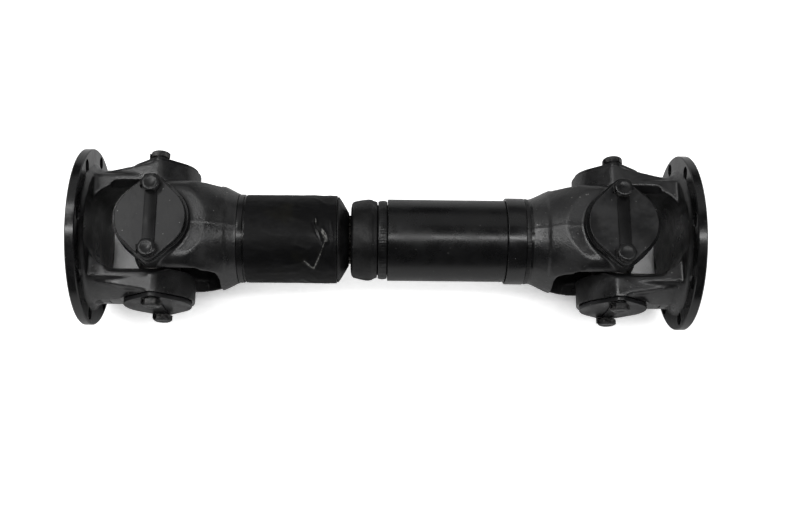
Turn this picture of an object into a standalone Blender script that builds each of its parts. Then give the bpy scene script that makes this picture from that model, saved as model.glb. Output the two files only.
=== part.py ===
"""Flanged universal joint shaft: two Cardan joints, a splined slip joint and a short tube.

+X runs along the shaft from the slip yoke to the tube yoke, +Z is up, and the origin is on the
shaft's axis, halfway between the two flange faces.  The tube yoke and the slip yoke carry their
crosses on +Z and -Z, and the flange yokes carry them on +Y and -Y.

A yoke and its fittings are modelled in a joint's own axes: the cross centre at the origin, the
ears on +Z and -Z, and the yoke's body towards +X.  They are then turned and moved into place.
"""

import math

import bmesh
import bpy
from mathutils import Matrix, Vector

MM = 0.001
PART_NAME = "universal_joint_shaft"

# Driving dimensions
LENGTH = 616 * MM               # flange face to flange face, slip joint closed
FACE_TO_JOINT = 77 * MM         # flange face to cross centre
JOINT_X = LENGTH / 2 - FACE_TO_JOINT
WELD = 0.001 * MM               # points closer than this are one
GAP = 0.3 * MM                  # between neighbouring solids

# Flanges
FLANGE_R = 90 * MM
FLANGE_T = 9.5 * MM
FLANGE_HOLES = 8
FLANGE_HOLE_R = 6.25 * MM
FLANGE_HOLE_CIRCLE_R = 80 * MM
PILOT_R = 55 * MM               # centring recess in the flange face
PILOT_DEPTH = 3 * MM
HUB_R = 69 * MM
HUB_T = 5 * MM
HUB_OVERLAP = 0.5 * MM          # the ears' side cuts run this far into the hub ring

# Cross and its bearings: 50 mm cups, 135 mm over the cup ends
CUP_R = 25 * MM
CUP_LENGTH = 24.5 * MM
CUP_END_WALL = 4.5 * MM
CROSS_HALF = 67.5 * MM
TRUNNION_R = 16.7 * MM
TRUNNION_END = 62.4 * MM
SHOULDER_R = 20.5 * MM
SHOULDER_END = 41 * MM
CROSS_BODY_R = 26 * MM
NIPPLE_R = 4 * MM
NIPPLE_LENGTH = 12 * MM

# Ears
EAR_INNER = 42 * MM             # inner face of an ear, from the cross centre
PAD_FACE = 67.8 * MM            # outer milled face that the cover sits on
PAD_R = 37 * MM
TIP_R = 9 * MM
TIP_OFFSET = 37 * MM            # pad outline: a circle and two smaller circles at this offset
LUG_RELIEF = 34 * MM            # beyond this the ear's inner side slopes outwards
THROAT_CORNER_R = 24 * MM
INNER_THROAT = 63 * MM          # depth of the gap between the ears of the shaft's own yokes
OUTER_THROAT = 64 * MM          # the same for a flange yoke
INNER_YOKE_R = 56 * MM
INNER_EAR_HALF = 46 * MM        # half width of the ears, and their outer side from the axis
INNER_EAR_OUTER = 60 * MM
INNER_EAR_ROUND = 16 * MM
OUTER_YOKE_R = 69 * MM
OUTER_EAR_HALF = 44 * MM
INNER_RELIEF_END = 58 * MM      # how far the slopes reach towards the yoke's body
OUTER_RELIEF_END = 37 * MM
PAD_MILLING_R = 48 * MM         # flat milled into the round ear of a flange yoke

# Cover plates, lock plates and M10 bolts
COVER_R = 34 * MM
COVER_TIP_R = 7 * MM
COVER_T = 4 * MM
PLATE_HALF = 6 * MM
PLATE_T = 1.2 * MM
BOLT_OFFSET = 33 * MM
BOLT_R = 4.85 * MM
BOLT_HOLE_R = 5.3 * MM
BOLT_SHANK = 20 * MM
BOLT_HOLE_END = 52.5 * MM
HEAD_ACROSS_FLATS = 17 * MM
HEAD_HEIGHT = 6.6 * MM

# Tube side of the shaft, positions along X
TUBE_R = 42 * MM
TUBE_BORE_R = 37.5 * MM
TUBE_START = 0.8 * MM
COLLAR_START = 121 * MM
COLLAR_END = 139.7 * MM
COLLAR_R = 44.5 * MM
NECK_R = 43.5 * MM
SPIGOT_LENGTH = 35 * MM
HEAD_START = -37 * MM
HEAD_END = -10 * MM
HEAD_R = 39 * MM
HEAD_BULGE_R = 41.8 * MM
WELD_RING_R = 39.5 * MM
STUB_SPIGOT = 15 * MM

# Slip joint, positions along X
SPLINE_TEETH = 16
SPLINE_R = 25 * MM
SPLINE_ROOT_R = 22.4 * MM
SPLINE_END = -142 * MM
SPLINE_CLEARANCE = 0.4 * MM
MALE_HALF_TOOTH = math.radians(5.4)
FEMALE_HALF_TOOTH = math.radians(6.2)
SLEEVE_START = -150.7 * MM
SLEEVE_BODY = -143.3 * MM
SLEEVE_END = -51 * MM
SLEEVE_R = 44.6 * MM
SLEEVE_GROOVE_R = 43 * MM
SLEEVE_COUNTERBORE = -144.8 * MM
SLIP_NECK_R = 45 * MM
FILM_T = 0.8 * MM
FILM_EDGE = 0.6 * MM
GLAND_END = -39 * MM
GLAND_R = 44 * MM
GLAND_MOUTH_R = 27 * MM
GLAND_BORE_R = 25.5 * MM
FELT_R = 31 * MM
FELT_SEAT = -44 * MM
PLUG_R = 20 * MM
PLUG_T = 2.5 * MM

# Facets around a round piece
FINE = 32
MEDIUM = 36
BORE = 24
CROSS_FACETS = 20
SMALL = 10
LARGE_ARC = 6
SMALL_ARC = 4

COLOURS = {
    "painted_forging": ((0.020, 0.020, 0.022), 0.42, 0.0),
    "painted_tube": ((0.018, 0.018, 0.020), 0.30, 0.0),
    "painted_plate": ((0.024, 0.024, 0.026), 0.40, 0.0),
    "painted_bolt": ((0.032, 0.032, 0.034), 0.38, 0.0),
    "bearing_steel": ((0.34, 0.34, 0.35), 0.28, 1.0),
    "machined_steel": ((0.40, 0.40, 0.41), 0.32, 1.0),
    "black_film": ((0.015, 0.015, 0.016), 0.18, 0.0),
    "felt": ((0.10, 0.09, 0.08), 0.95, 0.0),
    "nipple_zinc": ((0.55, 0.53, 0.48), 0.30, 1.0),
}


def clear_scene():
    for thing in list(bpy.data.objects):
        bpy.data.objects.remove(thing, do_unlink=True)


def new_collection(name):
    made = bpy.data.collections.new(name)
    bpy.context.scene.collection.children.link(made)
    return made


clear_scene()
PARTS = new_collection(PART_NAME)
CUTTERS = new_collection("cutters")


def material(name):
    """The named finish, made on first use."""
    if name in bpy.data.materials:
        return bpy.data.materials[name]
    colour, roughness, metallic = COLOURS[name]
    made = bpy.data.materials.new(name)
    made.use_nodes = True
    shader = made.node_tree.nodes["Principled BSDF"]
    shader.inputs["Base Color"].default_value = (*colour, 1.0)
    shader.inputs["Roughness"].default_value = roughness
    shader.inputs["Metallic"].default_value = metallic
    return made


def as_cutter(mesh, name):
    """A guide object that shapes another one and is no part of the model."""
    guide = bpy.data.objects.new(name, mesh)
    guide.hide_render = True
    guide.display_type = "WIRE"
    CUTTERS.objects.link(guide)
    return guide


def evaluated_mesh(thing, name):
    """The mesh an object evaluates to, with its modifiers, in place of the object."""
    bpy.context.view_layer.update()
    depsgraph = bpy.context.evaluated_depsgraph_get()
    mesh = bpy.data.meshes.new_from_object(thing.evaluated_get(depsgraph))
    mesh.name = name
    mesh.transform(thing.matrix_world)
    bpy.data.objects.remove(thing, do_unlink=True)
    return mesh


def weld(mesh):
    """Join the doubled points of a mesh and face it outwards."""
    shape = bmesh.new()
    shape.from_mesh(mesh)
    bmesh.ops.remove_doubles(shape, verts=shape.verts, dist=WELD)
    bmesh.ops.recalc_face_normals(shape, faces=shape.faces)
    shape.to_mesh(mesh)
    shape.free()
    return mesh


def turned(profile, segments, name, closed=False, phase=0.0):
    """A body turned about X from (position, radius) points.

    A solid's profile starts and ends on the axis; a ring's is a closed loop.
    """
    shape = bmesh.new()
    points = [shape.verts.new((radius, 0.0, along)) for along, radius in profile]
    for first, second in zip(points, points[1:]):
        shape.edges.new((first, second))
    if closed:
        shape.edges.new((points[-1], points[0]))
    mesh = bpy.data.meshes.new(name)
    shape.to_mesh(mesh)
    shape.free()
    body = as_cutter(mesh, name)
    screw = body.modifiers.new("turn", "SCREW")
    screw.axis = "Z"
    screw.steps = segments
    screw.render_steps = segments
    screw.use_merge_vertices = True
    screw.merge_threshold = WELD
    made = weld(evaluated_mesh(body, name))
    made.transform(Matrix.Rotation(math.pi / 2, 4, "Y") @ Matrix.Rotation(phase, 4, "Z"))
    return made


def ring_loop(start, end, inner, outer):
    """The closed profile of a plain ring."""
    return [(end, outer), (start, outer), (start, inner), (end, inner)]


def cylinder(radius, start, end, segments, name):
    """A plain cylinder along Z."""
    shape = bmesh.new()
    place = Matrix.Translation((0.0, 0.0, (start + end) / 2))
    bmesh.ops.create_cone(
        shape, cap_ends=True, segments=segments, radius1=radius, radius2=radius,
        depth=end - start, matrix=place)
    mesh = bpy.data.meshes.new(name)
    shape.to_mesh(mesh)
    shape.free()
    return mesh


def box(low, high, name):
    shape = bmesh.new()
    size = [b - a for a, b in zip(low, high)]
    middle = [(a + b) / 2 for a, b in zip(low, high)]
    place = Matrix.Translation(middle) @ Matrix.Diagonal((*size, 1.0))
    bmesh.ops.create_cube(shape, size=1.0, matrix=place)
    mesh = bpy.data.meshes.new(name)
    shape.to_mesh(mesh)
    shape.free()
    return mesh


def plate(outlines, start, end, name):
    """Closed outlines in X and Y, later ones as holes, extruded along Z."""
    curve = bpy.data.curves.new(name, "CURVE")
    curve.dimensions = "2D"
    curve.fill_mode = "BOTH"
    curve.extrude = (end - start) / 2
    for outline in outlines:
        spline = curve.splines.new("POLY")
        spline.points.add(len(outline) - 1)
        for point, (x, y) in zip(spline.points, outline):
            point.co = (x, y, 0.0, 1.0)
        spline.use_cyclic_u = True
    flat = bpy.data.objects.new(name, curve)
    flat.location.z = (start + end) / 2
    CUTTERS.objects.link(flat)
    return weld(evaluated_mesh(flat, name))


def arc(centre, radius, start, end, steps):
    """Points of an arc in the XY plane, angles in radians, both ends included."""
    turn = (end - start) / steps
    return [
        (centre[0] + radius * math.cos(start + i * turn),
         centre[1] + radius * math.sin(start + i * turn))
        for i in range(steps + 1)]


def circle(centre, radius, steps):
    return arc(centre, radius, 0.0, 2 * math.pi, steps)[:-1]


def lens(radius, tip_radius, offset):
    """A round disc drawn out to two rounded tips on Y, as one outline."""
    lean = math.asin((radius - tip_radius) / offset)
    outline = arc((0.0, 0.0), radius, -lean, lean, LARGE_ARC)
    outline += arc((0.0, offset), tip_radius, lean, math.pi - lean, SMALL_ARC)
    outline += arc((0.0, 0.0), radius, math.pi - lean, math.pi + lean, LARGE_ARC)
    outline += arc((0.0, -offset), tip_radius, math.pi + lean, 2 * math.pi - lean, SMALL_ARC)
    return outline


def combine(mesh, other, operation):
    """One Boolean step; both meshes are used up."""
    body = as_cutter(mesh, mesh.name)
    tool = as_cutter(other, other.name + "_tool")
    step = body.modifiers.new(operation.lower(), "BOOLEAN")
    step.operation = operation
    step.solver = "EXACT"
    step.object = tool
    made = weld(evaluated_mesh(body, mesh.name))
    bpy.data.objects.remove(tool, do_unlink=True)
    return made


def cut(mesh, other):
    return combine(mesh, other, "DIFFERENCE")


def join(mesh, other):
    return combine(mesh, other, "UNION")


# Yokes, in a joint's own axes


def lens_pads():
    """The two ear bosses, still one body through the joint."""
    return plate([lens(PAD_R, TIP_R, TIP_OFFSET)], -PAD_FACE, PAD_FACE, "pads")


def throat(depth):
    """The U-shaped gap between the ears, along Y."""
    corner = THROAT_CORNER_R
    inner = depth - corner
    side = EAR_INNER - corner
    opening = -60 * MM
    outline = [(opening, EAR_INNER), (opening, -EAR_INNER)]
    outline += arc((inner, -side), corner, -math.pi / 2, 0.0, LARGE_ARC)
    outline += arc((inner, side), corner, 0.0, math.pi / 2, LARGE_ARC)
    reach = FLANGE_R + 10 * MM
    mesh = plate([outline], -reach, reach, "throat")
    mesh.transform(Matrix.Rotation(math.pi / 2, 4, "X"))
    return mesh


def lug_relief(end):
    """Four wedges that slope the inner edges of the ears away from the other yoke."""
    depth = 10 * MM
    start = EAR_INNER - 0.5 * MM
    width = 16 * MM
    wedge = [(start, LUG_RELIEF), (start, LUG_RELIEF + width), (start + depth, LUG_RELIEF + width)]
    start_x = -30 * MM
    reliefs = None
    for side_y in (1, -1):
        for side_z in (1, -1):
            outline = [(side_z * z, side_y * y) for z, y in wedge]
            mesh = plate([outline], -end, -start_x, "relief")
            mesh.transform(Matrix.Rotation(-math.pi / 2, 4, "Y"))
            reliefs = mesh if reliefs is None else join(reliefs, mesh)
    return reliefs


def ear_bores(mesh):
    """Cut the cup bores and the four blind bolt holes."""
    reach = FLANGE_R
    mesh = cut(mesh, cylinder(CUP_R + GAP, -reach, reach, BORE, "cup_bore"))
    for side_z in (1, -1):
        for side_y in (1, -1):
            hole = cylinder(BOLT_HOLE_R, BOLT_HOLE_END, reach, SMALL, "bolt_hole")
            turn = Matrix.Rotation(0.0 if side_z > 0 else math.pi, 4, "X")
            hole.transform(Matrix.Translation((0.0, side_y * BOLT_OFFSET, 0.0)) @ turn)
            mesh = cut(mesh, hole)
    return mesh


def ear_block():
    """The ears of an inner yoke, still one rounded bar, tapered into the yoke's round body."""
    inner_y = INNER_EAR_HALF - INNER_EAR_ROUND
    inner_z = INNER_EAR_OUTER - INNER_EAR_ROUND
    corners = ((inner_z, inner_y, 0), (-inner_z, inner_y, 1),
               (-inner_z, -inner_y, 2), (inner_z, -inner_y, 3))
    quarter = math.pi / 2
    outline = []
    for z, y, turn in corners:
        outline += arc((z, y), INNER_EAR_ROUND, turn * quarter, (turn + 1) * quarter, SMALL_ARC)
    end = INNER_THROAT + 6 * MM
    bar = plate([outline], -end, 0.0, "ears")
    bar.transform(Matrix.Rotation(-quarter, 4, "Y"))
    taper = turned(
        [(-1 * MM, 0.0), (-1 * MM, 80 * MM), (40 * MM, 67 * MM), (end, 52 * MM),
         (end + 1 * MM, 0.0)], MEDIUM, "ear_taper")
    return combine(bar, taper, "INTERSECT")


def inner_yoke(neck_profile, name):
    """A yoke of the shaft itself: a round body that ends in two ears."""
    body_start = 30 * MM
    profile = [(body_start, 0.0), (body_start, INNER_YOKE_R), (54 * MM, INNER_YOKE_R)]
    mesh = turned(profile + neck_profile, MEDIUM, name)
    mesh = join(mesh, ear_block())
    mesh = join(mesh, lens_pads())
    mesh = cut(mesh, throat(INNER_THROAT))
    mesh = cut(mesh, lug_relief(INNER_RELIEF_END))
    return ear_bores(mesh)


def slip_yoke_mesh():
    """The slip yoke, bored through its neck for the spline's travel."""
    end = SLEEVE_START - GAP + JOINT_X
    neck = [
        (62 * MM, 54.5 * MM),
        (69 * MM, 51 * MM),
        (end, SLIP_NECK_R),
        (end, 0.0)]
    mesh = inner_yoke(neck, "slip_yoke")
    hole = cylinder(PLUG_R + GAP, 40 * MM, end + 10 * MM, BORE, "plug_bore")
    hole.transform(Matrix.Rotation(math.pi / 2, 4, "Y"))
    return cut(mesh, hole)


def tube_yoke_mesh():
    """The tube yoke, with the spigot that the collar and the tube sit on."""
    end = JOINT_X - COLLAR_END - GAP
    neck = [
        (62 * MM, 54 * MM),
        (69 * MM, 51 * MM),
        (77 * MM, 47 * MM),
        (83 * MM, NECK_R + 0.8 * MM),
        (87 * MM, NECK_R),
        (end, NECK_R),
        (end, TUBE_BORE_R - GAP),
        (end + SPIGOT_LENGTH, TUBE_BORE_R - GAP),
        (end + SPIGOT_LENGTH, 0.0)]
    return inner_yoke(neck, "tube_yoke")


def flange_yoke_mesh():
    """A flange with its hub ring, its two ears and its bolt circle."""
    face = FACE_TO_JOINT
    back = face - FLANGE_T
    hub = back - HUB_T
    bevel = 1 * MM
    profile = [
        (0.0, 0.0),
        (0.0, OUTER_YOKE_R),
        (hub, OUTER_YOKE_R - 1 * MM),
        (hub, HUB_R),
        (back, HUB_R + bevel),
        (back, FLANGE_R - bevel),
        (back + bevel, FLANGE_R),
        (face - bevel, FLANGE_R),
        (face, FLANGE_R - bevel),
        (face, PILOT_R),
        (face - PILOT_DEPTH, PILOT_R),
        (face - PILOT_DEPTH, 0.0)]
    mesh = turned(profile, FINE, "flange_yoke", phase=math.pi / FINE)
    reach = FLANGE_R + 10 * MM
    for side in (1, -1):
        low = (-10 * MM, OUTER_EAR_HALF, -reach)
        high = (hub + HUB_OVERLAP, reach, reach)
        slab = box(low, high, "ear_side")
        slab.transform(Matrix.Rotation(0.0 if side > 0 else math.pi, 4, "X"))
        mesh = cut(mesh, slab)
    mesh = join(mesh, lens_pads())
    for turn in (0.0, math.pi):
        milled = cylinder(PAD_MILLING_R, PAD_FACE, reach, MEDIUM, "pad_milling")
        milled.transform(Matrix.Rotation(turn, 4, "X"))
        mesh = cut(mesh, milled)
    mesh = cut(mesh, throat(OUTER_THROAT))
    mesh = cut(mesh, lug_relief(OUTER_RELIEF_END))
    mesh = ear_bores(mesh)
    for index in range(FLANGE_HOLES):
        angle = index * 2 * math.pi / FLANGE_HOLES
        hole = cylinder(FLANGE_HOLE_R, back - 10 * MM, face + 10 * MM, BORE // 2, "flange_hole")
        hole.transform(Matrix.Rotation(math.pi / 2, 4, "Y"))
        across = FLANGE_HOLE_CIRCLE_R * math.cos(angle)
        along = FLANGE_HOLE_CIRCLE_R * math.sin(angle)
        hole.transform(Matrix.Translation((0.0, across, along)))
        mesh = cut(mesh, hole)
    return mesh


# Cross, bearings and their fastenings, in a joint's own axes


def trunnion_pair(name):
    chamfer = 1 * MM
    profile = [
        (TRUNNION_END, 0.0),
        (TRUNNION_END, TRUNNION_R - chamfer),
        (TRUNNION_END - chamfer, TRUNNION_R),
        (SHOULDER_END, TRUNNION_R),
        (SHOULDER_END, SHOULDER_R)]
    profile += [(-along, radius) for along, radius in profile[::-1]]
    return turned(profile[::-1], CROSS_FACETS, name)


def cross_mesh():
    """Two pairs of trunnions at right angles, with a round body between them."""
    upright = trunnion_pair("cross")
    upright.transform(Matrix.Rotation(math.pi / 2, 4, "Y"))
    level = trunnion_pair("level_trunnions")
    level.transform(Matrix.Rotation(math.pi / 2, 4, "Z"))
    flat = CROSS_BODY_R - 2 * MM
    flat_r = 12 * MM
    profile = [(-flat, 0.0), (-flat, flat_r)]
    for degrees in (-50, -25, 0, 25, 50):
        angle = math.radians(degrees)
        profile.append((CROSS_BODY_R * math.sin(angle), CROSS_BODY_R * math.cos(angle)))
    profile += [(flat, flat_r), (flat, 0.0)]
    body = turned(profile, CROSS_FACETS, "cross_body")
    return join(join(body, upright), level)


def cup_mesh():
    """A needle cup on +Z: the needles are held in the thickness of its wall."""
    chamfer = 1 * MM
    top = CROSS_HALF
    bore = TRUNNION_R + 0.4 * MM
    profile = [
        (top, 0.0),
        (top, CUP_R - chamfer),
        (top - chamfer, CUP_R),
        (top - CUP_LENGTH, CUP_R),
        (top - CUP_LENGTH, bore),
        (top - CUP_END_WALL, bore),
        (top - CUP_END_WALL, 0.0)]
    mesh = turned([(-along, radius) for along, radius in profile], BORE, "bearing_cup")
    mesh.transform(Matrix.Rotation(math.pi / 2, 4, "Y"))
    return mesh


def cover_mesh():
    bottom = PAD_FACE + GAP
    outlines = [lens(COVER_R, COVER_TIP_R, TIP_OFFSET)]
    outlines += [circle((0.0, side * BOLT_OFFSET), BOLT_HOLE_R, SMALL) for side in (1, -1)]
    return plate(outlines, bottom, bottom + COVER_T, "bearing_cover")


def lock_plate_mesh():
    """A strip under both bolts of a cover, with rounded ends."""
    bottom = PAD_FACE + COVER_T + 2 * GAP
    end = (0.0, BOLT_OFFSET + 3 * MM)
    outline = arc(end, PLATE_HALF, 0.0, math.pi, 6)
    outline += [(-x, -y) for x, y in outline]
    outlines = [outline]
    outlines += [circle((0.0, side * BOLT_OFFSET), BOLT_HOLE_R, SMALL) for side in (1, -1)]
    return plate(outlines, bottom, bottom + PLATE_T, "lock_plate")


def bolt_mesh():
    """An M10 hex bolt on +Z, its shank in the ear."""
    under_head = PAD_FACE + COVER_T + PLATE_T + 3 * GAP
    corner = HEAD_ACROSS_FLATS / math.sqrt(3)
    head = cylinder(corner, under_head, under_head + HEAD_HEIGHT, 6, "cover_bolt")
    shank = cylinder(
        BOLT_R, under_head - BOLT_SHANK, under_head + HEAD_HEIGHT / 2, SMALL, "shank")
    return join(head, shank)


def nipple_mesh():
    """A grease nipple on the cross body's flat, pointing away from the shaft."""
    seat = CROSS_BODY_R - 2 * MM + GAP
    profile = [
        (seat, 0.0),
        (seat, NIPPLE_R),
        (seat + 5 * MM, NIPPLE_R),
        (seat + 6 * MM, 2.2 * MM),
        (seat + 9 * MM, 2.2 * MM),
        (seat + 10 * MM, 3.2 * MM),
        (seat + NIPPLE_LENGTH, 2.0 * MM),
        (seat + NIPPLE_LENGTH, 0.0)]
    return turned(profile, SMALL, "grease_nipple")


# Tube and slip joint, in place along X


def spline_outline(tip, root, half_tooth):
    """Straight-sided teeth around a circle, as one outline in X and Y."""
    outline = []
    pitch = 2 * math.pi / SPLINE_TEETH
    for tooth in range(SPLINE_TEETH):
        middle = tooth * pitch
        for radius, lean in ((root, -half_tooth), (tip, -half_tooth),
                             (tip, half_tooth), (root, half_tooth)):
            angle = middle + lean
            outline.append((radius * math.cos(angle), radius * math.sin(angle)))
    return outline


def spline_prism(tip, root, half_tooth, start, end, name):
    mesh = plate([spline_outline(tip, root, half_tooth)], start, end, name)
    mesh.transform(Matrix.Rotation(math.pi / 2, 4, "Y"))
    return mesh


def splined_shaft_mesh():
    """The male spline and its welding head, bulged like the collar of a forging."""
    spline = spline_prism(
        SPLINE_R, SPLINE_ROOT_R, MALE_HALF_TOOTH, SPLINE_END, HEAD_START + 4 * MM, "splined_shaft")
    spigot_r = TUBE_BORE_R - GAP
    profile = [
        (HEAD_START, 0.0),
        (HEAD_START, 28 * MM),
        (HEAD_START + 4 * MM, HEAD_R - 0.5 * MM),
        (HEAD_START + 9 * MM, HEAD_R),
        (HEAD_START + 13 * MM, HEAD_BULGE_R - 0.4 * MM),
        (HEAD_START + 18 * MM, HEAD_BULGE_R),
        (HEAD_START + 22 * MM, HEAD_BULGE_R - 0.4 * MM),
        (HEAD_START + 25 * MM, HEAD_R + 0.6 * MM),
        (HEAD_END, HEAD_R + 0.2 * MM),
        (HEAD_END, spigot_r),
        (STUB_SPIGOT, spigot_r),
        (STUB_SPIGOT, 0.0)]
    return join(spline, turned(profile, MEDIUM, "head"))


def spline_sleeve_mesh():
    """The female spline, with a shoulder and a groove where it meets the slip yoke."""
    profile = [
        (SLEEVE_START, 0.0),
        (SLEEVE_START, SLEEVE_R),
        (SLEEVE_COUNTERBORE, SLEEVE_R),
        (SLEEVE_COUNTERBORE, SLEEVE_GROOVE_R),
        (SLEEVE_BODY, SLEEVE_GROOVE_R),
        (SLEEVE_BODY, SLEEVE_R),
        (SLEEVE_END, SLEEVE_R),
        (SLEEVE_END, 0.0)]
    body = turned(profile, MEDIUM, "spline_sleeve")
    bore = spline_prism(
        SPLINE_R + SPLINE_CLEARANCE, SPLINE_ROOT_R + SPLINE_CLEARANCE, FEMALE_HALF_TOOTH,
        SLEEVE_START - 10 * MM, SLEEVE_END + 10 * MM, "spline_bore")
    return cut(body, bore)


def film_mesh():
    start = SLEEVE_BODY + FILM_EDGE
    end = SLEEVE_END - GAP
    inner = SLEEVE_R + GAP
    return turned(ring_loop(start, end, inner, inner + FILM_T), MEDIUM, "film", closed=True)


def gland_nut_mesh():
    """A conical nut on the mouth of the sleeve, recessed inside for the felt."""
    start = SLEEVE_END + GAP
    profile = [
        (GLAND_END, GLAND_MOUTH_R),
        (start + 1.5 * MM, GLAND_R),
        (start, GLAND_R),
        (start, FELT_R + GAP),
        (FELT_SEAT, FELT_R + GAP),
        (FELT_SEAT, GLAND_BORE_R),
        (GLAND_END, GLAND_BORE_R)]
    return turned(profile, MEDIUM, "gland_nut", closed=True)


def felt_mesh():
    start = SLEEVE_END + 2 * GAP
    end = FELT_SEAT - GAP
    return turned(ring_loop(start, end, SPLINE_R + GAP, FELT_R), MEDIUM, "felt", closed=True)


def weld_ring_mesh():
    start = HEAD_END + GAP
    end = TUBE_START - GAP
    return turned(ring_loop(start, end, TUBE_BORE_R, WELD_RING_R), MEDIUM, "weld_ring", closed=True)


def tube_mesh():
    loop = ring_loop(TUBE_START, COLLAR_START - GAP, TUBE_BORE_R, TUBE_R)
    return turned(loop, MEDIUM, "shaft_tube", closed=True)


def collar_mesh():
    bevel = 0.8 * MM
    loop = [
        (COLLAR_END, COLLAR_R - bevel),
        (COLLAR_END - bevel, COLLAR_R),
        (COLLAR_START + bevel, COLLAR_R),
        (COLLAR_START, COLLAR_R - bevel),
        (COLLAR_START, TUBE_BORE_R),
        (COLLAR_END, TUBE_BORE_R)]
    return turned(loop, MEDIUM, "collar", closed=True)


def plug_mesh():
    """The cap that closes the slip yoke's neck."""
    start = -JOINT_X + INNER_THROAT + 3 * MM
    profile = [
        (start, 0.0),
        (start, PLUG_R - 2 * MM),
        (start + PLUG_T, PLUG_R),
        (start + 2 * PLUG_T, PLUG_R),
        (start + 2 * PLUG_T, 0.0)]
    return turned(profile, BORE, "plug")


# Placing


def empty(name, location, parent=None):
    """A joint's own point, which its pieces hang from."""
    made = bpy.data.objects.new(name, None)
    made.empty_display_size = 0.05
    made.location = location
    made.parent = parent
    PARTS.objects.link(made)
    return made


def add_piece(name, mesh, finish, parent, turn=None):
    """One sub-part, its origin on its joint, smooth where it is round."""
    made = bpy.data.objects.new(name, mesh)
    if not mesh.materials:
        mesh.materials.append(material(finish))
        mesh.shade_smooth()
        mesh.set_sharp_from_angle(angle=math.radians(30))
    made.parent = parent
    if turn is not None:
        made.matrix_local = turn
    PARTS.objects.link(made)
    return made


def add_in_place(name, mesh, finish, parent):
    """A piece modelled in the shaft's own axes, hung from a joint away from the origin."""
    shift = Matrix.Translation(-Vector(parent.location))
    return add_piece(name, mesh, finish, parent, shift)


def add_ear_fittings(label, turn_to_ear, parent, meshes):
    """The cup, cover, lock plate and two bolts of one ear."""
    add_piece(label + "_bearing_cup", meshes["cup"], "bearing_steel", parent, turn_to_ear)
    add_piece(label + "_bearing_cover", meshes["cover"], "painted_plate", parent, turn_to_ear)
    add_piece(label + "_lock_plate", meshes["plate"], "painted_plate", parent, turn_to_ear)
    for number, side in enumerate((1, -1), start=1):
        shift = Matrix.Translation((0.0, side * BOLT_OFFSET, 0.0))
        add_piece(f"{label}_bolt_{number}", meshes["bolt"], "painted_bolt", parent,
                  turn_to_ear @ shift)


def build():
    left = empty("left_joint", (-JOINT_X, 0.0, 0.0))
    right = empty("right_joint", (JOINT_X, 0.0, 0.0))
    slip = empty("slip_joint", (-JOINT_X, 0.0, 0.0))
    shaft = empty("shaft_axis", (0.0, 0.0, 0.0))

    to_left = Matrix.Rotation(math.pi, 4, "Z")
    quarter = Matrix.Rotation(math.pi / 2, 4, "X")
    fittings = {
        "cup": cup_mesh(), "cover": cover_mesh(), "plate": lock_plate_mesh(), "bolt": bolt_mesh()}
    flange_yoke = flange_yoke_mesh()
    cross = cross_mesh()
    nipple = nipple_mesh()

    add_piece("left_flange_yoke", flange_yoke, "painted_forging", left, to_left @ quarter)
    add_piece("right_flange_yoke", flange_yoke, "painted_forging", right, quarter)
    add_piece("left_cross", cross, "machined_steel", left)
    add_piece("right_cross", cross, "machined_steel", right)
    add_piece("left_grease_nipple", nipple, "nipple_zinc", left, to_left)
    add_piece("right_grease_nipple", nipple, "nipple_zinc", right)
    add_piece("slip_yoke", slip_yoke_mesh(), "painted_forging", slip)
    add_piece("tube_yoke", tube_yoke_mesh(), "painted_forging", right, to_left)

    for side, joint, yoke, holder in (
            ("left", left, "slip", slip), ("right", right, "tube", right)):
        for label, angle in (("upper", 0.0), ("lower", math.pi)):
            turn = Matrix.Rotation(angle, 4, "X")
            add_ear_fittings(f"{yoke}_{label}", turn, holder, fittings)
        for label, angle in (("rear", -math.pi / 2), ("front", math.pi / 2)):
            turn = Matrix.Rotation(angle, 4, "X")
            add_ear_fittings(f"{side}_flange_{label}", turn, joint, fittings)

    add_in_place("spline_sleeve", spline_sleeve_mesh(), "painted_tube", slip)
    add_in_place("protective_film", film_mesh(), "black_film", slip)
    add_in_place("gland_nut", gland_nut_mesh(), "painted_forging", slip)
    add_in_place("felt_seal", felt_mesh(), "felt", slip)
    add_in_place("welch_plug", plug_mesh(), "bearing_steel", slip)
    add_piece("splined_shaft", splined_shaft_mesh(), "painted_forging", shaft)
    add_piece("spline_weld_ring", weld_ring_mesh(), "painted_tube", shaft)
    add_piece("shaft_tube", tube_mesh(), "painted_tube", shaft)
    add_piece("tube_collar", collar_mesh(), "painted_tube", shaft)


build()
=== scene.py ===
"""Finished look of a flanged universal joint shaft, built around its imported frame.

+X runs along the shaft from the slip yoke to the tube yoke and +Z is up.  A yoke and its
fittings are shaped in a joint's own axes: cross centre at the origin, ears on +Z and -Z, the
yoke's body towards +X.  They are then turned and moved into place.
"""

import math

import bmesh
import bpy
from mathutils import Matrix, Vector, noise


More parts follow.
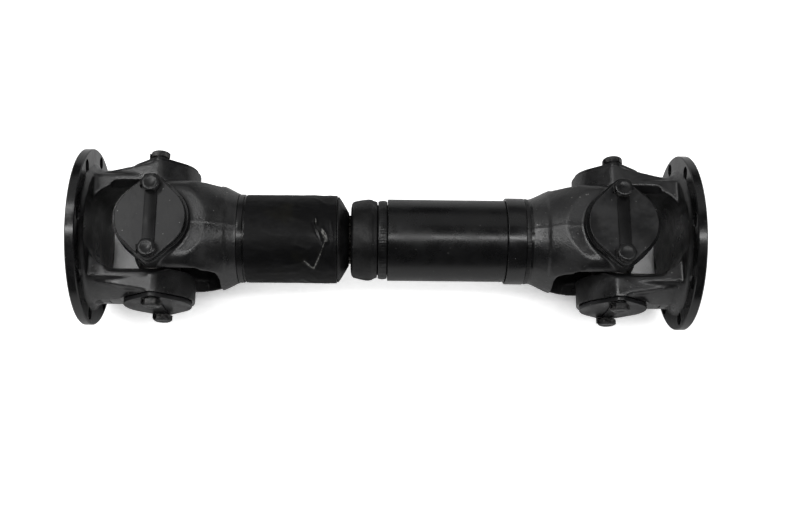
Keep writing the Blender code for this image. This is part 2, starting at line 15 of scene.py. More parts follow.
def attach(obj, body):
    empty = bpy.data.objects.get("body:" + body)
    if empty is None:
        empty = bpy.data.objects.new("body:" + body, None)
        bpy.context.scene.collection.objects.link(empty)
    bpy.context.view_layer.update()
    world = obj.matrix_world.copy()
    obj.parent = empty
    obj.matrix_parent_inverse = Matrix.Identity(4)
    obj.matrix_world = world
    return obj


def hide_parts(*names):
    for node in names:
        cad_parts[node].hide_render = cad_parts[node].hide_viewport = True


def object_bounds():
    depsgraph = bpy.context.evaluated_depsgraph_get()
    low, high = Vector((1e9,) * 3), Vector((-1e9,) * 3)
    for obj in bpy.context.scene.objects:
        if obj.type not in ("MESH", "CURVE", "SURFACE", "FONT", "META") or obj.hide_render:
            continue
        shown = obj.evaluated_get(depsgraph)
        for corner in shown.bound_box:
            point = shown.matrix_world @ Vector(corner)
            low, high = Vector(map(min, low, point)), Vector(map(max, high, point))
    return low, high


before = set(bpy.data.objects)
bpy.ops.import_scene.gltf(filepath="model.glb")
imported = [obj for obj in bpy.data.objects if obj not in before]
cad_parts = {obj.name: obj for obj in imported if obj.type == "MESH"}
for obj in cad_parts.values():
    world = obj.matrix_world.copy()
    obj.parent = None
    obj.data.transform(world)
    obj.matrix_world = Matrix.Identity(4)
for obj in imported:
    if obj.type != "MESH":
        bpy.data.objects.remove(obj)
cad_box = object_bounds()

MM = 0.001

# Main sizes of the shaft
JOINT_X = 231 * MM
FACE_TO_JOINT = 77 * MM
FLANGE_R = 90 * MM
FLANGE_T = 9.5 * MM
FLANGE_HOLES = 8
FLANGE_HOLE_R = 6.25 * MM
FLANGE_HOLE_CIRCLE_R = 80 * MM
PILOT_R = 55 * MM
PILOT_DEPTH = 3 * MM
HUB_R = 69 * MM
HUB_T = 5 * MM
CUP_R = 25 * MM
CUP_LENGTH = 24.5 * MM
CUP_END_WALL = 4.5 * MM
CROSS_HALF = 67.5 * MM
TRUNNION_R = 16.7 * MM
TRUNNION_END = 62.4 * MM
SHOULDER_R = 20.5 * MM
SHOULDER_END = 41 * MM
CROSS_BODY_R = 26 * MM
EAR_INNER = 42 * MM
PAD_FACE = 67.8 * MM
PAD_R = 37 * MM
PAD_TIP_R = 9 * MM
TIP_OFFSET = 37 * MM
THROAT_CORNER_R = 24 * MM
INNER_THROAT = 63 * MM
OUTER_THROAT = 64 * MM
INNER_YOKE_R = 56 * MM
INNER_EAR_HALF = 46 * MM
INNER_EAR_OUTER = 60 * MM
INNER_EAR_ROUND = 16 * MM
OUTER_EAR_HALF = 44 * MM
LUG_RELIEF = 34 * MM
RELIEF_END = 37 * MM
RELIEF_FADE = 12 * MM
PAD_MILLING_R = 48 * MM
COVER_R = 34 * MM
COVER_TIP_R = 7 * MM
COVER_T = 4 * MM
STRIP_HALF = 6 * MM
STRIP_T = 1.2 * MM
BOLT_OFFSET = 33 * MM
BOLT_R = 4.85 * MM
BOLT_SHANK = 20 * MM
BOLT_HOLE_R = 5.3 * MM
BOLT_HOLE_END = 52.5 * MM
HEAD_ACROSS_FLATS = 17 * MM
HEAD_HEIGHT = 6.6 * MM
TUBE_R = 42 * MM
TUBE_BORE_R = 37.5 * MM
COLLAR_START = 121 * MM
COLLAR_END = 139.7 * MM
COLLAR_R = 44.5 * MM
HEAD_START = -37 * MM
SPLINE_TEETH = 16
SPLINE_R = 25 * MM
SPLINE_ROOT_R = 22.4 * MM
SPLINE_HALF_TOOTH = math.radians(5.4)
SPLINE_END = -142 * MM
SLEEVE_R = 44.6 * MM
SLEEVE_GROOVE_R = 43 * MM
SLEEVE_END = -51 * MM
GLAND_END = -39 * MM
GLAND_BORE_R = 25.5 * MM
FELT_R = 31 * MM
FELT_SEAT = -44 * MM
SLEEVE_START = -150.7 * MM
GROOVE_START = -145.2 * MM
GROOVE_END = -143.6 * MM
GAP = 0.3 * MM

# Detail of the meshes
CLEAR = 100 * MM
FINE = 160
ROUND = 128
BORE = 64
SMALL = 32
VOXEL = 1.25 * MM
FORGING_ROUNDS = 9
WELD = 0.002 * MM
SHARP = math.radians(32)


# Shaping


def in_scene(thing):
    bpy.context.scene.collection.objects.link(thing)


def mesh_of(shape, name):
    """The bmesh as a mesh, welded and facing outwards."""
    bmesh.ops.remove_doubles(shape, verts=shape.verts, dist=WELD)
    bmesh.ops.recalc_face_normals(shape, faces=shape.faces)
    mesh = bpy.data.meshes.new(name)
    shape.to_mesh(mesh)
    shape.free()
    return mesh


def cylinder(shape, radius, start, end, centre=(0.0, 0.0), segments=BORE):
    """Add a plain cylinder along Z."""
    place = Matrix.Translation((centre[0], centre[1], (start + end) / 2))
    return bmesh.ops.create_cone(
        shape, cap_ends=True, segments=segments, radius1=radius, radius2=radius,
        depth=abs(end - start), matrix=place)["verts"]


def rod(radius, start, end, name, segments=SMALL):
    """A plain cylinder along Z, as a mesh of its own."""
    shape = bmesh.new()
    cylinder(shape, radius, start, end, segments=segments)
    return mesh_of(shape, name)


def box(shape, low, high):
    """Add a box between two opposite corners."""
    size = [b - a for a, b in zip(low, high)]
    middle = [(a + b) / 2 for a, b in zip(low, high)]
    place = Matrix.Translation(middle) @ Matrix.Diagonal((*size, 1.0))
    return bmesh.ops.create_cube(shape, size=1.0, matrix=place)["verts"]


def hull_of(shape):
    """Replace everything in a bmesh by its convex hull."""
    result = bmesh.ops.convex_hull(shape, input=shape.verts)
    spare = set(result["geom_interior"]) | set(result["geom_unused"])
    keep = {f for f in result["geom"] if isinstance(f, bmesh.types.BMFace)}
    bmesh.ops.delete(shape, geom=[f for f in shape.faces if f not in keep], context="FACES")
    points = [v for v in spare if isinstance(v, bmesh.types.BMVert) and v.is_valid]
    bmesh.ops.delete(shape, geom=points, context="VERTS")
    bmesh.ops.dissolve_limit(
        shape, angle_limit=math.radians(0.5), verts=shape.verts, edges=shape.edges)
    return shape


def lens(radius, tip_radius, start, end):
    """A round disc drawn out to two rounded tips on Y."""
    shape = bmesh.new()
    cylinder(shape, radius, start, end, (0.0, 0.0), ROUND)
    for side in (1, -1):
        cylinder(shape, tip_radius, start, end, (0.0, side * TIP_OFFSET), SMALL)
    return hull_of(shape)


def turned(profile, name, soft=0.0, segments=ROUND, closed=False):
    """A body turned about X from (position, radius) points, its corners rounded by soft."""
    shape = bmesh.new()
    points = [shape.verts.new((along, 0.0, radius)) for along, radius in profile]
    for first, second in zip(points, points[1:]):
        shape.edges.new((first, second))
    if closed:
        shape.edges.new((points[-1], points[0]))
    if soft:
        corners = points if closed else points[1:-1]
        bmesh.ops.bevel(
            shape, geom=corners, offset=soft, offset_type="OFFSET", segments=3, profile=0.5,
            affect="VERTICES", clamp_overlap=True, material=-1)
    bmesh.ops.spin(
        shape, geom=shape.verts[:] + shape.edges[:], cent=(0.0, 0.0, 0.0), axis=(1.0, 0.0, 0.0),
        dvec=(0.0, 0.0, 0.0), angle=2 * math.pi, steps=segments, use_merge=True)
    return mesh_of(shape, name)


def points_from(start, *points):
    """Profile points from their positions past a start and their radii, both in mm."""
    return [(start + along * MM, radius * MM) for along, radius in points]


def ring(start, end, inner, outer, name, soft, segments=ROUND):
    """A plain ring about X with rounded corners."""
    loop = [(start, inner), (start, outer), (end, outer), (end, inner)]
    return turned(loop, name, soft, segments, closed=True)


def rounded(shape, edges, width, steps=2):
    bmesh.ops.bevel(shape, geom=edges, offset=width, offset_type="OFFSET", segments=steps,
                    profile=0.5, affect="EDGES", material=-1)


def flat_faced(mesh):
    """The mesh in a bmesh, with the triangles of each flat face merged."""
    shape = bmesh.new()
    shape.from_mesh(mesh)
    bmesh.ops.dissolve_limit(
        shape, angle_limit=math.radians(1), verts=shape.verts, edges=shape.edges)
    return shape


def helper(mesh):
    """An object that holds a mesh while modifiers work on it."""
    thing = bpy.data.objects.new(mesh.name, mesh)
    in_scene(thing)
    return thing


def applied(thing):
    """The mesh an object evaluates to; the object is used up."""
    bpy.context.view_layer.update()
    depsgraph = bpy.context.evaluated_depsgraph_get()
    mesh = bpy.data.meshes.new_from_object(thing.evaluated_get(depsgraph))
    mesh.name = thing.name
    bpy.data.objects.remove(thing, do_unlink=True)
    return mesh


def combine(mesh, other, operation):
    """The boolean of two closed meshes."""
    body = helper(mesh)
    tool = helper(other)
    step = body.modifiers.new("step", "BOOLEAN")
    step.operation = operation
    step.solver = "MANIFOLD"
    step.object = tool
    made = applied(body)
    bpy.data.objects.remove(tool, do_unlink=True)
    return made


def cut(mesh, other):
    return combine(mesh, other, "DIFFERENCE")


def join(mesh, other):
    return combine(mesh, other, "UNION")


def forged(mesh, rounds, voxel=VOXEL):
    """Melt the sharp corners of a rough shape into the fillets of a forging."""
    body = helper(mesh)
    remesh = body.modifiers.new("skin", "REMESH")
    remesh.mode = "VOXEL"
    remesh.voxel_size = voxel
    soften = body.modifiers.new("soften", "SMOOTH")
    soften.factor = 0.5
    soften.iterations = rounds
    return applied(body)


def moved(mesh, matrix):
    mesh.transform(matrix)
    return mesh


def copy_of(mesh, matrix):
    return moved(mesh.copy(), matrix)


ALONG_X = Matrix.Rotation(math.pi / 2, 4, "Y")
UP_FROM_X = Matrix.Rotation(-math.pi / 2, 4, "Y")
HALF_TURN_Z = Matrix.Rotation(math.pi, 4, "Z")
FLIP = Matrix.Rotation(math.pi, 4, "X")
QUARTER_X = Matrix.Rotation(math.pi / 2, 4, "X")


# Yokes, in a joint's own axes


def throat(depth):
    """The U-shaped gap between the ears."""
    shape = bmesh.new()
    side = EAR_INNER - THROAT_CORNER_R
    for z in (side, -side):
        cylinder(shape, THROAT_CORNER_R, -CLEAR, CLEAR, (depth - THROAT_CORNER_R, z))
        box(shape, (-60 * MM, z - THROAT_CORNER_R, -CLEAR), (0.0, z + THROAT_CORNER_R, CLEAR))
    hull_of(shape)
    return moved(mesh_of(shape, "throat"), QUARTER_X)


def lug_relief():
    """Four wedges that slope the inner edges of the ears away, fading out past their end."""
    inner = EAR_INNER - 0.5 * MM
    side = 50 * MM
    wedge = bmesh.new()
    verts = box(wedge, (-side, LUG_RELIEF, inner), (RELIEF_END, side, inner + 10 * MM))
    for vert in verts:
        if vert.co.y < LUG_RELIEF + 1 * MM:
            vert.co.z = inner
    for y in (LUG_RELIEF + 2 * MM, side):
        wedge.verts.new((RELIEF_END + RELIEF_FADE, y, inner))
    single = mesh_of(hull_of(wedge), "wedge")
    shape = bmesh.new()
    for side_y in (1, -1):
        for side_z in (1, -1):
            shape.from_mesh(copy_of(single, Matrix.Diagonal((1.0, side_y, side_z, 1.0))))
    return mesh_of(shape, "relief")


def pad_pair():
    """The raised pads of both ears, a little too long for the mill."""
    return mesh_of(lens(PAD_R, PAD_TIP_R, -PAD_FACE - 1 * MM, PAD_FACE + 1 * MM), "pads")


def machined_ears(mesh):
    """Bore the ears, with small chamfers at the bore's mouths, and drill the bolt holes."""
    reach = 95 * MM
    lip = 0.8 * MM
    flare = 3 * MM
    radius = CUP_R + GAP
    half = [(PAD_FACE - lip, radius), (PAD_FACE + flare, radius + flare + lip),
            (reach, radius + 4 * MM), (reach, 0.0)]
    other_half = [(-along, away) for along, away in reversed(half)]
    bore = turned(other_half + half, "cup_bore", segments=BORE)
    mesh = cut(mesh, moved(bore, ALONG_X))
    shape = bmesh.new()
    for side_z in (1, -1):
        for side_y in (1, -1):
            cylinder(shape, BOLT_HOLE_R, side_z * BOLT_HOLE_END, side_z * reach,
                     (0.0, side_y * BOLT_OFFSET), SMALL)
    return cut(mesh, mesh_of(shape, "bolt_holes"))


def ear_bar():
    """The ears of an inner yoke, still one rounded bar."""
    shape = bmesh.new()
    end = INNER_THROAT + 6 * MM
    up = INNER_EAR_OUTER - INNER_EAR_ROUND
    out = INNER_EAR_HALF - INNER_EAR_ROUND
    for z in (up, -up):
        for y in (out, -out):
            cylinder(shape, INNER_EAR_ROUND, 0.0, end, (z, y), SMALL)
    hull_of(shape)
    bar = moved(mesh_of(shape, "ears"), ALONG_X)
    taper = turned([(-1 * MM, 0.0), (-1 * MM, 80 * MM), (40 * MM, 67 * MM), (end, 52 * MM),
                    (end + 1 * MM, 0.0)], "ear_taper")
    return combine(bar, taper, "INTERSECT")


def parting_line(mesh, reach):
    """A low ridge along the ears where the two halves of the forging die met."""
    width = 2.2 * MM
    height = 0.4 * MM
    for vert in mesh.vertices:
        off = abs(vert.co.y)
        if off < width and abs(vert.co.z) > EAR_INNER + 1 * MM and vert.co.x < reach:
            vert.co.z += math.copysign((1 - off / width) * height, vert.co.z)
    return mesh


def inner_yoke(neck, end, name):
    """A yoke of the shaft itself: a forged round body that ends in two ears."""
    start = 30 * MM
    spare = 6 * MM
    body = [(start, 0.0), (start, INNER_YOKE_R), (54 * MM, INNER_YOKE_R)]
    mesh = turned(body + neck + [(end + spare, neck[-1][1]), (end + spare, 0.0)], name)
    mesh = join(mesh, ear_bar())
    mesh = join(mesh, pad_pair())
    mesh = cut(mesh, throat(INNER_THROAT))
    mesh = cut(mesh, lug_relief())
    mesh = forged(mesh, FORGING_ROUNDS)
    mesh = parting_line(mesh, end)
    side = 60 * MM
    thick = 24.4 * MM
    shape = bmesh.new()
    for low in (PAD_FACE, -PAD_FACE - thick):
        box(shape, (-side, -side, low), (side, side, low + thick))
    box(shape, (end, -side, -side), (end + 20 * MM, side, side))
    mesh = cut(mesh, mesh_of(shape, "milling"))
    return machined_ears(mesh)


def flange_disc():
    """The turned flange with its pilot recess and its hub step."""
    face = FACE_TO_JOINT
    back = face - FLANGE_T
    return turned([
        (back - 1 * MM, 0.0), (back - 1 * MM, HUB_R - 6 * MM), (back, HUB_R - 5 * MM),
        (back, FLANGE_R - 1 * MM), (back + 1 * MM, FLANGE_R), (face - 1.2 * MM, FLANGE_R),
        (face, FLANGE_R - 1.2 * MM), (face, PILOT_R + 0.6 * MM), (face - 0.6 * MM, PILOT_R),
        (face - PILOT_DEPTH, PILOT_R - 0.4 * MM), (face - PILOT_DEPTH, 0.0)], "disc",
        segments=FINE)


def flange_holes():
    """The bolt circle's holes, chamfered at both faces."""
    back = FACE_TO_JOINT - FLANGE_T
    radius = FLANGE_HOLE_R
    lip = 0.7 * MM
    hole = turned([
        (back - 12 * MM, 0.0), (back - 12 * MM, radius + 8 * MM), (back - 8 * MM, radius + 8 * MM),
        (back + lip, radius), (FACE_TO_JOINT - lip, radius),
        (FACE_TO_JOINT + 4 * MM, radius + lip + 4 * MM), (FACE_TO_JOINT + 4 * MM, 0.0)],
        "flange_hole", segments=SMALL)
    shift = Matrix.Translation((0.0, FLANGE_HOLE_CIRCLE_R, 0.0))
    shape = bmesh.new()
    for index in range(FLANGE_HOLES):
        turn = Matrix.Rotation(index * 2 * math.pi / FLANGE_HOLES, 4, "X")
        shape.from_mesh(copy_of(hole, turn @ shift))
    return mesh_of(shape, "flange_holes")


def ear_fairings():
    """Webs that run from the tips of a flange yoke's pads down to its hub."""
    low = 52 * MM
    wedge = bmesh.new()
    for side in (1, -1):
        cylinder(wedge, PAD_TIP_R, low, PAD_FACE - 1.5 * MM, (0.0, side * TIP_OFFSET), SMALL)
        for z in (low, low + 4 * MM):
            wedge.verts.new((61 * MM, side * 38 * MM, z))
    single = mesh_of(hull_of(wedge), "fairing")
    shape = bmesh.new()
    shape.from_mesh(single)
    shape.from_mesh(copy_of(single, FLIP))
    return mesh_of(shape, "fairings")


def flange_yoke():
    """A turned flange on a forged hub with two ears."""
    face = FACE_TO_JOINT
    back = face - FLANGE_T
    hub = back - HUB_T
    core = 86 * MM
    body = turned([
        (0.0, 0.0), (0.0, HUB_R), (hub - 5 * MM, HUB_R - 0.7 * MM), (hub, HUB_R),
        (hub + 3 * MM, HUB_R + 1.6 * MM), (back, HUB_R + 5.5 * MM),
        (back + 0.4 * MM, core), (face - 5 * MM, core), (face - 5 * MM, 0.0)], "flange_yoke")
    thick = 80 * MM
    shape = bmesh.new()
    for low in (OUTER_EAR_HALF, -OUTER_EAR_HALF - thick):
        box(shape, (-10 * MM, low, -CLEAR), (hub + 0.5 * MM, low + thick, CLEAR))
    mesh = cut(body, mesh_of(shape, "ear_sides"))
    mesh = join(join(mesh, ear_fairings()), pad_pair())
    mesh = cut(mesh, throat(OUTER_THROAT))
    mesh = cut(mesh, lug_relief())
    mesh = forged(mesh, FORGING_ROUNDS)
    mesh = parting_line(mesh, hub - 8 * MM)
    mesh = join(mesh, flange_disc())
    shape = bmesh.new()
    for side in (1, -1):
        cylinder(shape, PAD_MILLING_R, side * PAD_FACE, side * CLEAR, segments=ROUND)
    mesh = cut(mesh, mesh_of(shape, "pad_milling"))
    mesh = machined_ears(mesh)
    return cut(mesh, flange_holes())


# Fittings of one ear, on +Z


def cover():
    """A pressed plate with rounded edges."""
    bottom = PAD_FACE + GAP
    shape = lens(COVER_R, COVER_TIP_R, bottom, bottom + COVER_T)
    top = [f for f in shape.faces if f.normal.z > 0.9]
    bmesh.ops.inset_region(shape, faces=top, thickness=0.6 * MM, use_even_offset=True)
    rim = {e for f in top for e in f.edges}
    outer = [e for e in shape.edges if e.calc_face_angle(0.0) > math.radians(60)
             and e not in rim]
    rounded(shape, outer, 0.55 * MM, steps=3)
    return mesh_of(shape, "bearing_cover")


def lock_strip():
    """A thin strip under both bolt heads, a tab folded up against a flat of each head."""
    bottom = PAD_FACE + COVER_T + 2 * GAP
    top = bottom + STRIP_T
    tab_x = -10.4 * MM
    tab_half = 4 * MM
    shape = bmesh.new()
    for side in (1, -1):
        cylinder(shape, STRIP_HALF, bottom, top, (0.0, side * (BOLT_OFFSET + 3 * MM)), SMALL)
    hull_of(shape)
    mesh = mesh_of(shape, "lock_plate")
    for side in (1, -1):
        y = side * BOLT_OFFSET
        shape = bmesh.new()
        box(shape, (tab_x, y - tab_half, bottom), (-2 * MM, y + tab_half, top - 0.02 * MM))
        mesh = join(mesh, mesh_of(shape, "lug"))
        shape = bmesh.new()
        verts = box(shape, (tab_x, y - tab_half, bottom + 0.1 * MM),
                    (tab_x + 1.1 * MM, y + tab_half, top + 4.6 * MM))
        for vert in verts:
            if vert.co.z > top:
                vert.co.y = y + (vert.co.y - y) * 0.8
        mesh = join(mesh, mesh_of(shape, "tab"))
    shape = flat_faced(mesh)
    edges = [e for e in shape.edges if e.calc_face_angle(0.0) > math.radians(50)]
    rounded(shape, edges, 0.22 * MM)
    return mesh_of(shape, "lock_plate")


def bolt():
    """A hex bolt with a chamfered head and a washer face, its shank in the ear."""
    seat = PAD_FACE + COVER_T + STRIP_T + 3 * GAP
    top = seat + HEAD_HEIGHT
    corner = HEAD_ACROSS_FLATS / math.sqrt(3)
    dish = top - 0.35 * MM
    hexagon = rod(corner, seat + 0.5 * MM, top, "hex", segments=6)
    hexagon = moved(hexagon, Matrix.Rotation(math.pi / 6, 4, "Z"))
    cone = turned([(seat, 0.0), (seat, corner + 1 * MM), (top - 2.1 * MM, corner + 1 * MM),
                   (dish, 8.1 * MM), (top, 7.3 * MM), (top, 5.2 * MM), (dish, 4.6 * MM),
                   (dish, 0.0)], "cone", segments=SMALL)
    head = combine(hexagon, moved(cone, UP_FROM_X), "INTERSECT")
    head = join(head, rod(7.9 * MM, seat, seat + 1 * MM, "washer_face"))
    head = join(head, rod(BOLT_R, seat - BOLT_SHANK, seat + 2 * MM, "shank"))
    shape = flat_faced(head)
    corners = [e for e in shape.edges if abs(e.verts[0].co.z - e.verts[1].co.z) > 1.5 * MM
               and math.hypot(*e.verts[0].co.xy) > 8 * MM]
    rounded(shape, corners, 0.3 * MM)
    return mesh_of(shape, "cover_bolt")


def bearing_cup():
    """A closed cup over the end of a trunnion."""
    inner = TRUNNION_R + 0.4 * MM
    mouth = CROSS_HALF - CUP_LENGTH
    floor = CROSS_HALF - CUP_END_WALL
    mesh = turned([
        (CROSS_HALF, 0.0), (CROSS_HALF, CUP_R), (mouth, CUP_R), (mouth, inner),
        (floor, inner), (floor, 0.0)], "bearing_cup", soft=0.7 * MM, segments=BORE)
    return moved(mesh, UP_FROM_X)


# Cross and what sits on it


def cross():
    """Two pairs of trunnions on a forged round body."""
    half = [(TRUNNION_END, 0.0), (TRUNNION_END, TRUNNION_R), (SHOULDER_END, TRUNNION_R),
            (SHOULDER_END, SHOULDER_R)]
    profile = half + [(-x, r) for x, r in half[::-1]]
    pair = turned(profile, "trunnions", segments=BORE)
    ball = points_from(0.0, (9, 24.4), (17, 19.7), (24, 12), (24, 0))
    mesh = turned([(-x, r) for x, r in ball[::-1]] + [(0.0, CROSS_BODY_R)] + ball, "cross")
    for turn in (UP_FROM_X, Matrix.Rotation(math.pi / 2, 4, "Z")):
        mesh = join(mesh, copy_of(pair, turn))
    return forged(mesh, 5, 0.9 * MM)


def seal():
    """The rubber ring between a trunnion's shoulder and its cup."""
    loop = points_from(0.0, (40.3, 17.2), (40.3, 22.5), (41.2, 24.2), (42.1, 24.2),
                       (42.7, 22.9), (42.7, 17.2))
    mesh = turned(loop, "trunnion_seal", soft=0.25 * MM, segments=BORE, closed=True)
    return moved(mesh, UP_FROM_X)


def nipple():
    """A grease nipple with its waist and its round head."""
    profile = points_from(
        CROSS_BODY_R - 1.7 * MM, (-1, 0), (-1, 4), (4.6, 4), (6, 2.3), (8.4, 2.1), (9.6, 3.2),
        (10.6, 3.1), (11.9, 1.6), (11.9, 0))
    return turned(
        profile, "grease_nipple", soft=0.25 * MM, segments=SMALL)


# Tube and slip joint, in place along X


def weld_bead(middle, radius, width, name):
    """A bead laid round the shaft, rippled like fish scales."""
    mesh = turned([(middle - width, radius - 1.5 * MM), (middle - width, radius),
                   (middle - 0.6 * width, radius + 0.5 * MM), (middle, radius + 0.7 * MM),
                   (middle + 0.6 * width, radius + 0.5 * MM), (middle + width, radius),
                   (middle + width, radius - 1.5 * MM)], name, soft=0.4 * MM, segments=360,
                  closed=True)
    for vert in mesh.vertices:
        angle = math.atan2(vert.co.y, vert.co.z)
        along = (vert.co.x - middle) / width
        distance = math.hypot(vert.co.y, vert.co.z)
        if distance > radius - 0.3 * MM:
            ripple = 0.5 + 0.5 * math.cos(90 * angle + 2.2 * along * along)
            lump = noise.noise(Vector((9 * angle, along, middle * 50)))
            grow = 1 + (0.22 * ripple + 0.30 * lump) * MM * (1 - along * along) / distance
            vert.co.y *= grow
            vert.co.z *= grow
    return mesh


def head_collar():
    """The bulged, rough-turned collar of the splined shaft."""
    turned_end = -8 * MM
    profile = points_from(
        HEAD_START, (0, 0), (0, 33), (0.8, 37), (2.5, 39.2), (7, 40.2), (10, 41), (14, 41.6),
        (18, 41.9), (21, 41.5), (23.5, 40.2), (25.5, 39.7), (27, 39.1), (27, 36))
    profile += points_from(0.0, (14, 36), (14, 0))
    mesh = turned(profile, "collar", soft=0.9 * MM, segments=FINE)
    shape = bmesh.new()
    shape.from_mesh(mesh)
    around = [e for e in shape.edges if abs(e.verts[0].co.x - e.verts[1].co.x) > 1.5 * MM
              and e.verts[0].co.x < turned_end]
    bmesh.ops.subdivide_edges(shape, edges=around, cuts=2, use_grid_fill=True)
    for vert in shape.verts:
        radius = math.hypot(vert.co.y, vert.co.z)
        if vert.co.x < turned_end and radius > 30 * MM:
            lump = noise.noise(vert.co * 90) * 0.35 + noise.noise(vert.co * 260) * 0.12
            vert.co.y *= 1 + lump * MM / radius
            vert.co.z *= 1 + lump * MM / radius
    return mesh_of(shape, "collar")


def spline_bar():
    """The toothed bar between the collar and the sleeve."""
    shape = bmesh.new()
    pitch = 2 * math.pi / SPLINE_TEETH
    foot = SPLINE_HALF_TOOTH
    crest = 0.86 * foot
    points = []
    for tooth in range(SPLINE_TEETH):
        for radius, lean in ((SPLINE_ROOT_R, -foot), (SPLINE_R, -crest), (SPLINE_R, crest),
                             (SPLINE_ROOT_R, foot)):
            angle = tooth * pitch + lean
            points.append(shape.verts.new(
                (SPLINE_END, radius * math.cos(angle), radius * math.sin(angle))))
    face = shape.faces.new(points)
    grown = bmesh.ops.extrude_face_region(shape, geom=[face])["geom"]
    tips = [v for v in grown if isinstance(v, bmesh.types.BMVert)]
    length = 108 * MM
    bmesh.ops.translate(shape, verts=tips, vec=(length, 0.0, 0.0))
    long_edges = [e for e in shape.edges if abs(e.verts[0].co.x - e.verts[1].co.x) > 1 * MM]
    rounded(shape, long_edges, 0.3 * MM)
    return mesh_of(shape, "spline_bar")


# Folds of the film: (x mm, angle degrees) of both ends, half width mm, height mm
FOLDS = [
    ((-71.8, 12.0), (-71.2, -2.0), 2.6, 1.6), ((-65.2, -4.0), (-60.4, -18.0), 4.6, 2.3),
    ((-62.4, -19.0), (-67.0, -36.0), 2.0, 1.5), ((-67.0, -36.0), (-73.2, -55.0), 2.2, 1.9),
    ((-73.6, -56.0), (-82.6, -45.0), 3.0, 1.8), ((-56.6, 8.0), (-54.4, -12.0), 2.4, 0.9),
    ((-54.4, -12.0), (-56.0, -30.0), 2.4, 0.8), ((-74.5, 6.0), (-66.0, -20.0), 3.0, -1.3),
    ((-78.5, -30.0), (-92.0, -24.0), 4.5, 0.6), ((-82.6, -45.0), (-103.0, -52.0), 4.2, 0.8),
    ((-96.0, -14.0), (-120.0, -9.0), 5.5, 0.45), ((-82.0, 8.0), (-101.0, 14.0), 5.0, 0.5),
    ((-108.0, -36.0), (-134.0, -30.0), 5.5, 0.5), ((-90.0, -62.0), (-128.0, -66.0), 5.0, 0.6),
    ((-62.0, 34.0), (-75.0, 52.0), 4.0, 0.7), ((-70.0, 70.0), (-96.0, 86.0), 4.5, 0.6),
    ((-60.0, 105.0), (-72.0, 132.0), 4.0, 1.0), ((-88.0, 140.0), (-112.0, 118.0), 4.5, 0.6),
    ((-64.0, 165.0), (-80.0, 190.0), 4.2, 1.2), ((-100.0, 172.0), (-134.0, 160.0), 5.0, 0.5),
    ((-58.0, 215.0), (-76.0, 232.0), 4.2, 0.9), ((-92.0, 225.0), (-118.0, 244.0), 4.5, 0.6),
    ((-70.0, 262.0), (-84.0, 280.0), 4.2, 0.8), ((-112.0, 275.0), (-134.0, 262.0), 5.0, 0.5)]


def fold_height(x, angle, radius):
    """How far the folds lift the film at a point of its unrolled sheet, in mm."""
    height = 0.0
    for (x0, a0), (x1, a1), width, tall in FOLDS:
        middle = math.radians((a0 + a1) / 2)
        turn = (angle - middle + math.pi) % (2 * math.pi) - math.pi
        across = turn * radius
        start = Vector((x0, (math.radians(a0) - middle) * radius))
        end = Vector((x1, (math.radians(a1) - middle) * radius))
        along = end - start
        point = Vector((x, across)) - start
        share = min(1.0, max(0.0, point.dot(along) / along.length_squared))
        away = (point - along * share).length / width
        if away < 1:
            fade = 0.55 + 0.45 * math.sin(math.pi * share)
            height += tall * fade * (1 - away) ** 1.35
    return height


def film():
    """Thin film shrunk over the sleeve, crumpled at the end next to the gland nut."""
    start = GROOVE_END + 0.6 * MM
    end = SLEEVE_END - GAP
    radius = 45 * MM
    steps = 150
    frayed = 3 * MM
    shape = bmesh.new()
    crease = shape.verts.layers.float.new("crease")
    points = [shape.verts.new((start + (end - start) * i / steps, 0.0, radius))
              for i in range(steps + 1)]
    for first, second in zip(points, points[1:]):
        shape.edges.new((first, second))
    bmesh.ops.spin(
        shape, geom=shape.verts[:] + shape.edges[:], cent=(0.0, 0.0, 0.0), axis=(1.0, 0.0, 0.0),
        dvec=(0.0, 0.0, 0.0), angle=2 * math.pi, steps=300, use_merge=True)
    bmesh.ops.recalc_face_normals(shape, faces=shape.faces)
    if shape.faces[0].normal.dot(Vector((0.0, *shape.faces[0].calc_center_median().yz))) < 0:
        bmesh.ops.reverse_faces(shape, faces=shape.faces)
    for vert in shape.verts:
        angle = math.atan2(vert.co.y, vert.co.z)
        x = vert.co.x / MM
        lift = fold_height(x, angle, radius / MM)
        # The crease value pales the fold crests in the film's material: partly whitened film,
        # partly a painted highlight.
        vert[crease] = min(1.0, max(0.0, lift - 0.6) / 0.8)
        place = Vector((x * 0.09, math.cos(angle) * 4.1, math.sin(angle) * 4.1))
        ridges = 1 - abs(noise.noise(place * 0.75)) * 2
        crumple = max(0.0, ridges - 0.45) * (0.55 + 0.9 * max(0.0, 1 + (x + 60) / 55))
        slack = 0.35 * noise.noise(Vector((x * 0.035, angle * 0.9, 3.0)))
        rim = min(1.0, (x - start / MM) / 5, (end / MM - x) / 2.5)
        grow = (lift * 0.9 + crumple * 0.28 + slack * 0.6 + 0.2) * (0.25 + 0.75 * max(0.0, rim))
        fray = noise.noise(Vector((angle * 14, 0.0, 5.0))) * 0.9
        if vert.co.x < start + frayed:
            vert.co.x += fray * MM * (1 - (vert.co.x - start) / frayed)
        scale = 1 + grow * MM / radius
        vert.co.y *= scale
        vert.co.z *= scale
    mesh = mesh_of(shape, "film")
    sheet = helper(mesh)
    wall = sheet.modifiers.new("wall", "SOLIDIFY")
    wall.thickness = 0.5 * MM
    wall.offset = -1.0
    return applied(sheet)


